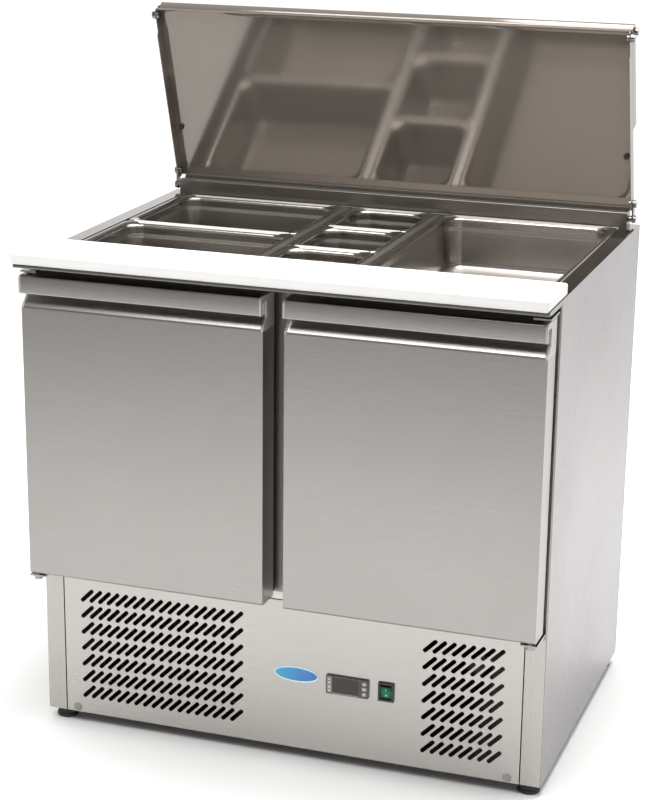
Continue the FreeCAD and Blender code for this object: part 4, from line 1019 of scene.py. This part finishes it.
def rocker_marks():
    """Moulded bar and ring on the rocker's two faces, tilted with it."""
    low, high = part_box("rocker_frame")
    cx, cz = (low.x + high.x) / 2, (low.z + high.z) / 2
    bm = bmesh.new()
    plaque(bm, cx, MARK_UP, 0.9 * MM, 4.2 * MM, MARK_FRONT, MARK_FRONT + BAR_DEEP, 0.2 * MM)
    outer, inner = [disc_ring((cx, 0, -MARK_UP), "y", radius, MARK_FRONT, 24)
                    for radius in (2.1 * MM, 1.3 * MM)]
    back_outer, back_inner = [[p + Vector((0, RING_DEEP, 0)) for p in ring] for ring in (outer, inner)]
    loft(bm, [outer, inner, back_inner, back_outer, outer], False, False)
    bmesh.ops.remove_doubles(bm, verts=bm.verts, dist=0.001 * MM)
    tilt = Matrix.Rotation(ROCKER_TILT, 4, "X")
    bm.transform(Matrix.Translation((0, ROCKER_AXIS_Y, cz)) @ tilt)
    piece("rocker_marks", bm, "rocker", "green_plastic", material=MATERIALS["print_white"])


BADGE_FIELD = 2.2 * MM       # the rim's width, up to the enamel
BADGE_CROWN = 11 * MM        # the dome's curve runs in over this width


def badge():
    """Blank oval badge: pale raised rim around a domed enamel field."""
    low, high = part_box("badge_plate")
    cx, cz = (low.x + high.x) / 2, (low.z + high.z) / 2
    half_wide, half_tall = (high.x - low.x) / 2, (high.z - low.z) / 2
    back, front = high.y, low.y

    def oval(inset, y, steps=64):
        """Ring of points inset from the badge's outline, at one depth."""
        angles = [2 * math.pi * i / steps for i in range(steps)]
        return [Vector((cx + (half_wide - inset) * math.cos(angle), y,
                        cz + (half_tall - inset) * math.sin(angle))) for angle in angles]

    bm = bmesh.new()
    deep = back - front
    rim = [(0, 0), (0, 0.55), (0.3, 0.8), (1.2, 0.88), (2.2, 0.8), (2.4, 0.3)]
    loft(bm, [oval(inset * MM, back - share * deep) for inset, share in rim])
    piece("badge_rim", bm, "cabinet", "badge_blue", ["badge_plate"], MATERIALS["badge_rim"])
    bm = bmesh.new()
    rings = [oval(BADGE_FIELD, back - 0.25 * deep)]
    for step in range(6):
        angle = math.radians(90.0 * step / 6)
        rings.append(oval(BADGE_FIELD + BADGE_CROWN * (1 - math.cos(angle)),
                          back - (0.72 + 0.28 * math.sin(angle)) * deep))
    loft(bm, rings)
    piece("badge_dome", bm, "cabinet", "badge_blue")


# ---------------------------------------------------------------- feet
THREAD_PITCH = 1.25 * MM
THREAD_ROOT = 3.3 * MM
THREAD_CREST = 3.95 * MM
THREAD_END = 2.6 * MM
CORE = 0.5 * MM


def levelling_foot(node):
    """Rubber-soled foot with a gripping ridge, on its threaded stud."""
    low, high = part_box(node)
    cx, cy = (low.x + high.x) / 2, (low.y + high.y) / 2
    bm = bmesh.new()
    pad = [(16.5, 0), (18.4, 0.4), (19, 1.4), (19, 5.2), (18.5, 6.4), (17.2, 7.0), (17.0, 7.6), (17.8, 8.2),
           (17.4, 10.4), (15.6, 18.3), (14.8, 19.3), (13.5, 19.6), (0.5, 19.6)]
    turned(bm, (cx, cy, 0), "z", [(radius * MM, low.z + up * MM) for radius, up in pad], 48)
    piece(node + "_pad", bm, node, "black_rubber", [node])
    bm = bmesh.new()
    profile = [(CORE, low.z + 19 * MM)]
    start = low.z + 19.6 * MM
    turns = int((high.z - start - 1 * MM) / THREAD_PITCH)
    for step in range(turns):
        profile += [(THREAD_ROOT, start + step * THREAD_PITCH),
                    (THREAD_CREST, start + (step + 0.5) * THREAD_PITCH)]
    profile += [(THREAD_ROOT, start + turns * THREAD_PITCH), (THREAD_END, high.z), (CORE, high.z)]
    turned(bm, (cx, cy, 0), "z", profile, 24)
    piece(node + "_stud", bm, node, "zinc_steel", material=MATERIALS["bright_steel"])


# ---------------------------------------------------------------- stage and light
def make_floor():
    """Pale matt floor that reaches far past the view."""
    reach = 60.0
    bm = bmesh.new()
    block(bm, -reach, reach, -reach, reach, -0.1, 0)
    floor = new_object("studio_floor", finish_mesh(bm, "studio_floor"))
    material, tree, shader = blank_material("studio_floor")
    mottle = spread(tree, noise(tree, scale=2.0, detail=2), 0, 1)
    tree.links.new(tint(tree, mottle, (0.83, 0.83, 0.825), (0.85, 0.85, 0.845)), shader.inputs["Base Color"])
    shader.inputs["Roughness"].default_value = 0.85
    shader.inputs["Specular IOR Level"].default_value = 0.1
    floor.data.materials.append(material)


def area_light(name, place, target, wide, tall, power):
    """Rectangular lamp that looks at a target."""
    data = bpy.data.lights.new(name, "AREA")
    data.shape = "RECTANGLE"
    data.size = wide
    data.size_y = tall
    data.energy = power
    light = new_object(name, data)
    light.location = place
    light.rotation_euler = (Vector(target) - Vector(place)).to_track_quat("-Z", "Y").to_euler()
    return light


LOW_AIR = (0.50, 0.495, 0.49)
HIGH_AIR = (0.21, 0.20, 0.19)
BACKDROP = (1.35, 1.34, 1.33)


def make_world():
    """Plain studio air, paler low down and greyer overhead, with a bright backdrop low behind the table."""
    world = bpy.data.worlds.new("studio")
    world.use_nodes = True
    tree = world.node_tree
    split = add(tree, "ShaderNodeSeparateXYZ")
    tree.links.new(add(tree, "ShaderNodeTexCoord").outputs["Generated"], split.inputs["Vector"])
    height = spread(tree, split.outputs["Z"], 0, 1, 0.0, 0.6)
    air = tint(tree, height, LOW_AIR, HIGH_AIR)
    behind = multiply(tree, spread(tree, split.outputs["Y"], 0, 1, 0.3, 0.7),
                      spread(tree, split.outputs["Z"], 1, 0, 0.24, 0.42))
    backdrop = add(tree, "ShaderNodeMix", data_type="RGBA")
    tree.links.new(behind, backdrop.inputs["Factor"])
    tree.links.new(air, backdrop.inputs["A"])
    backdrop.inputs["B"].default_value = (*BACKDROP, 1)
    tree.links.new(backdrop.outputs["Result"], tree.nodes["Background"].inputs["Color"])
    tree.nodes["Background"].inputs["Strength"].default_value = 1.0
    bpy.context.scene.world = world


HIDDEN_BANKS = (             # name, place, target, width, height, power: these light without being mirrored
    ("rear_bank", (0, 12.0, 3.3), (0, 12.0, 0), 30, 24, 2500),
    ("near_bank", (-0.5, -0.6, 3.0), (-0.5, -0.6, 0), 5, 2.4, 45),
    ("left_bank", (-2.2, -1.0, 2.2), (-1.0, -0.5, 0), 1.6, 1.6, 11),
    ("front_fill", (0.0, -1.3, 1.3), (0.0, -0.8, 0), 1.3, 0.3, 2.6),
)
SOFTBOXES = (
    ("overhead_softbox", (0.45, 0.1, 3.0), (0.3, 0.1, 0.0), 2.0, 1.4, 78),
    ("front_softbox", (-0.35, -1.6, 3.0), (-0.2, -0.8, 0.6), 1.7, 0.9, 30),
)


def make_studio():
    """Floor, air, four banks hidden from reflections and the camera, and two softboxes the metal mirrors."""
    make_floor()
    make_world()
    for row in HIDDEN_BANKS:
        bank = area_light(*row)
        bank.visible_glossy = False
        bank.visible_camera = False
    for row in SOFTBOXES:
        area_light(*row)


make_camera()
dress_cad_nodes()
for door_side in SIDES:
    door_skin(door_side)
soft_board()
for pan_name in PANS:
    food_pan(pan_name)
for panel_side in SIDES:
    side_sheet(panel_side)
worktop()
riser()
for sheet_name in ("lid_rear_section", "lid_front_section"):
    # The lids' inner faces get the painted-shade copy of the lid steel.
    soft_sheet(sheet_name, LID_EDGE, MATERIALS["shaded_lid_inside"])
soft_sheet("vent_panel", VENT_EDGE)
thermostat()
rocker_marks()
badge()
for foot_name in sorted(name for name in NODES if name.startswith("foot_")):
    levelling_foot(foot_name)
make_studio()
bpy.context.scene.view_settings.view_transform = "Standard"
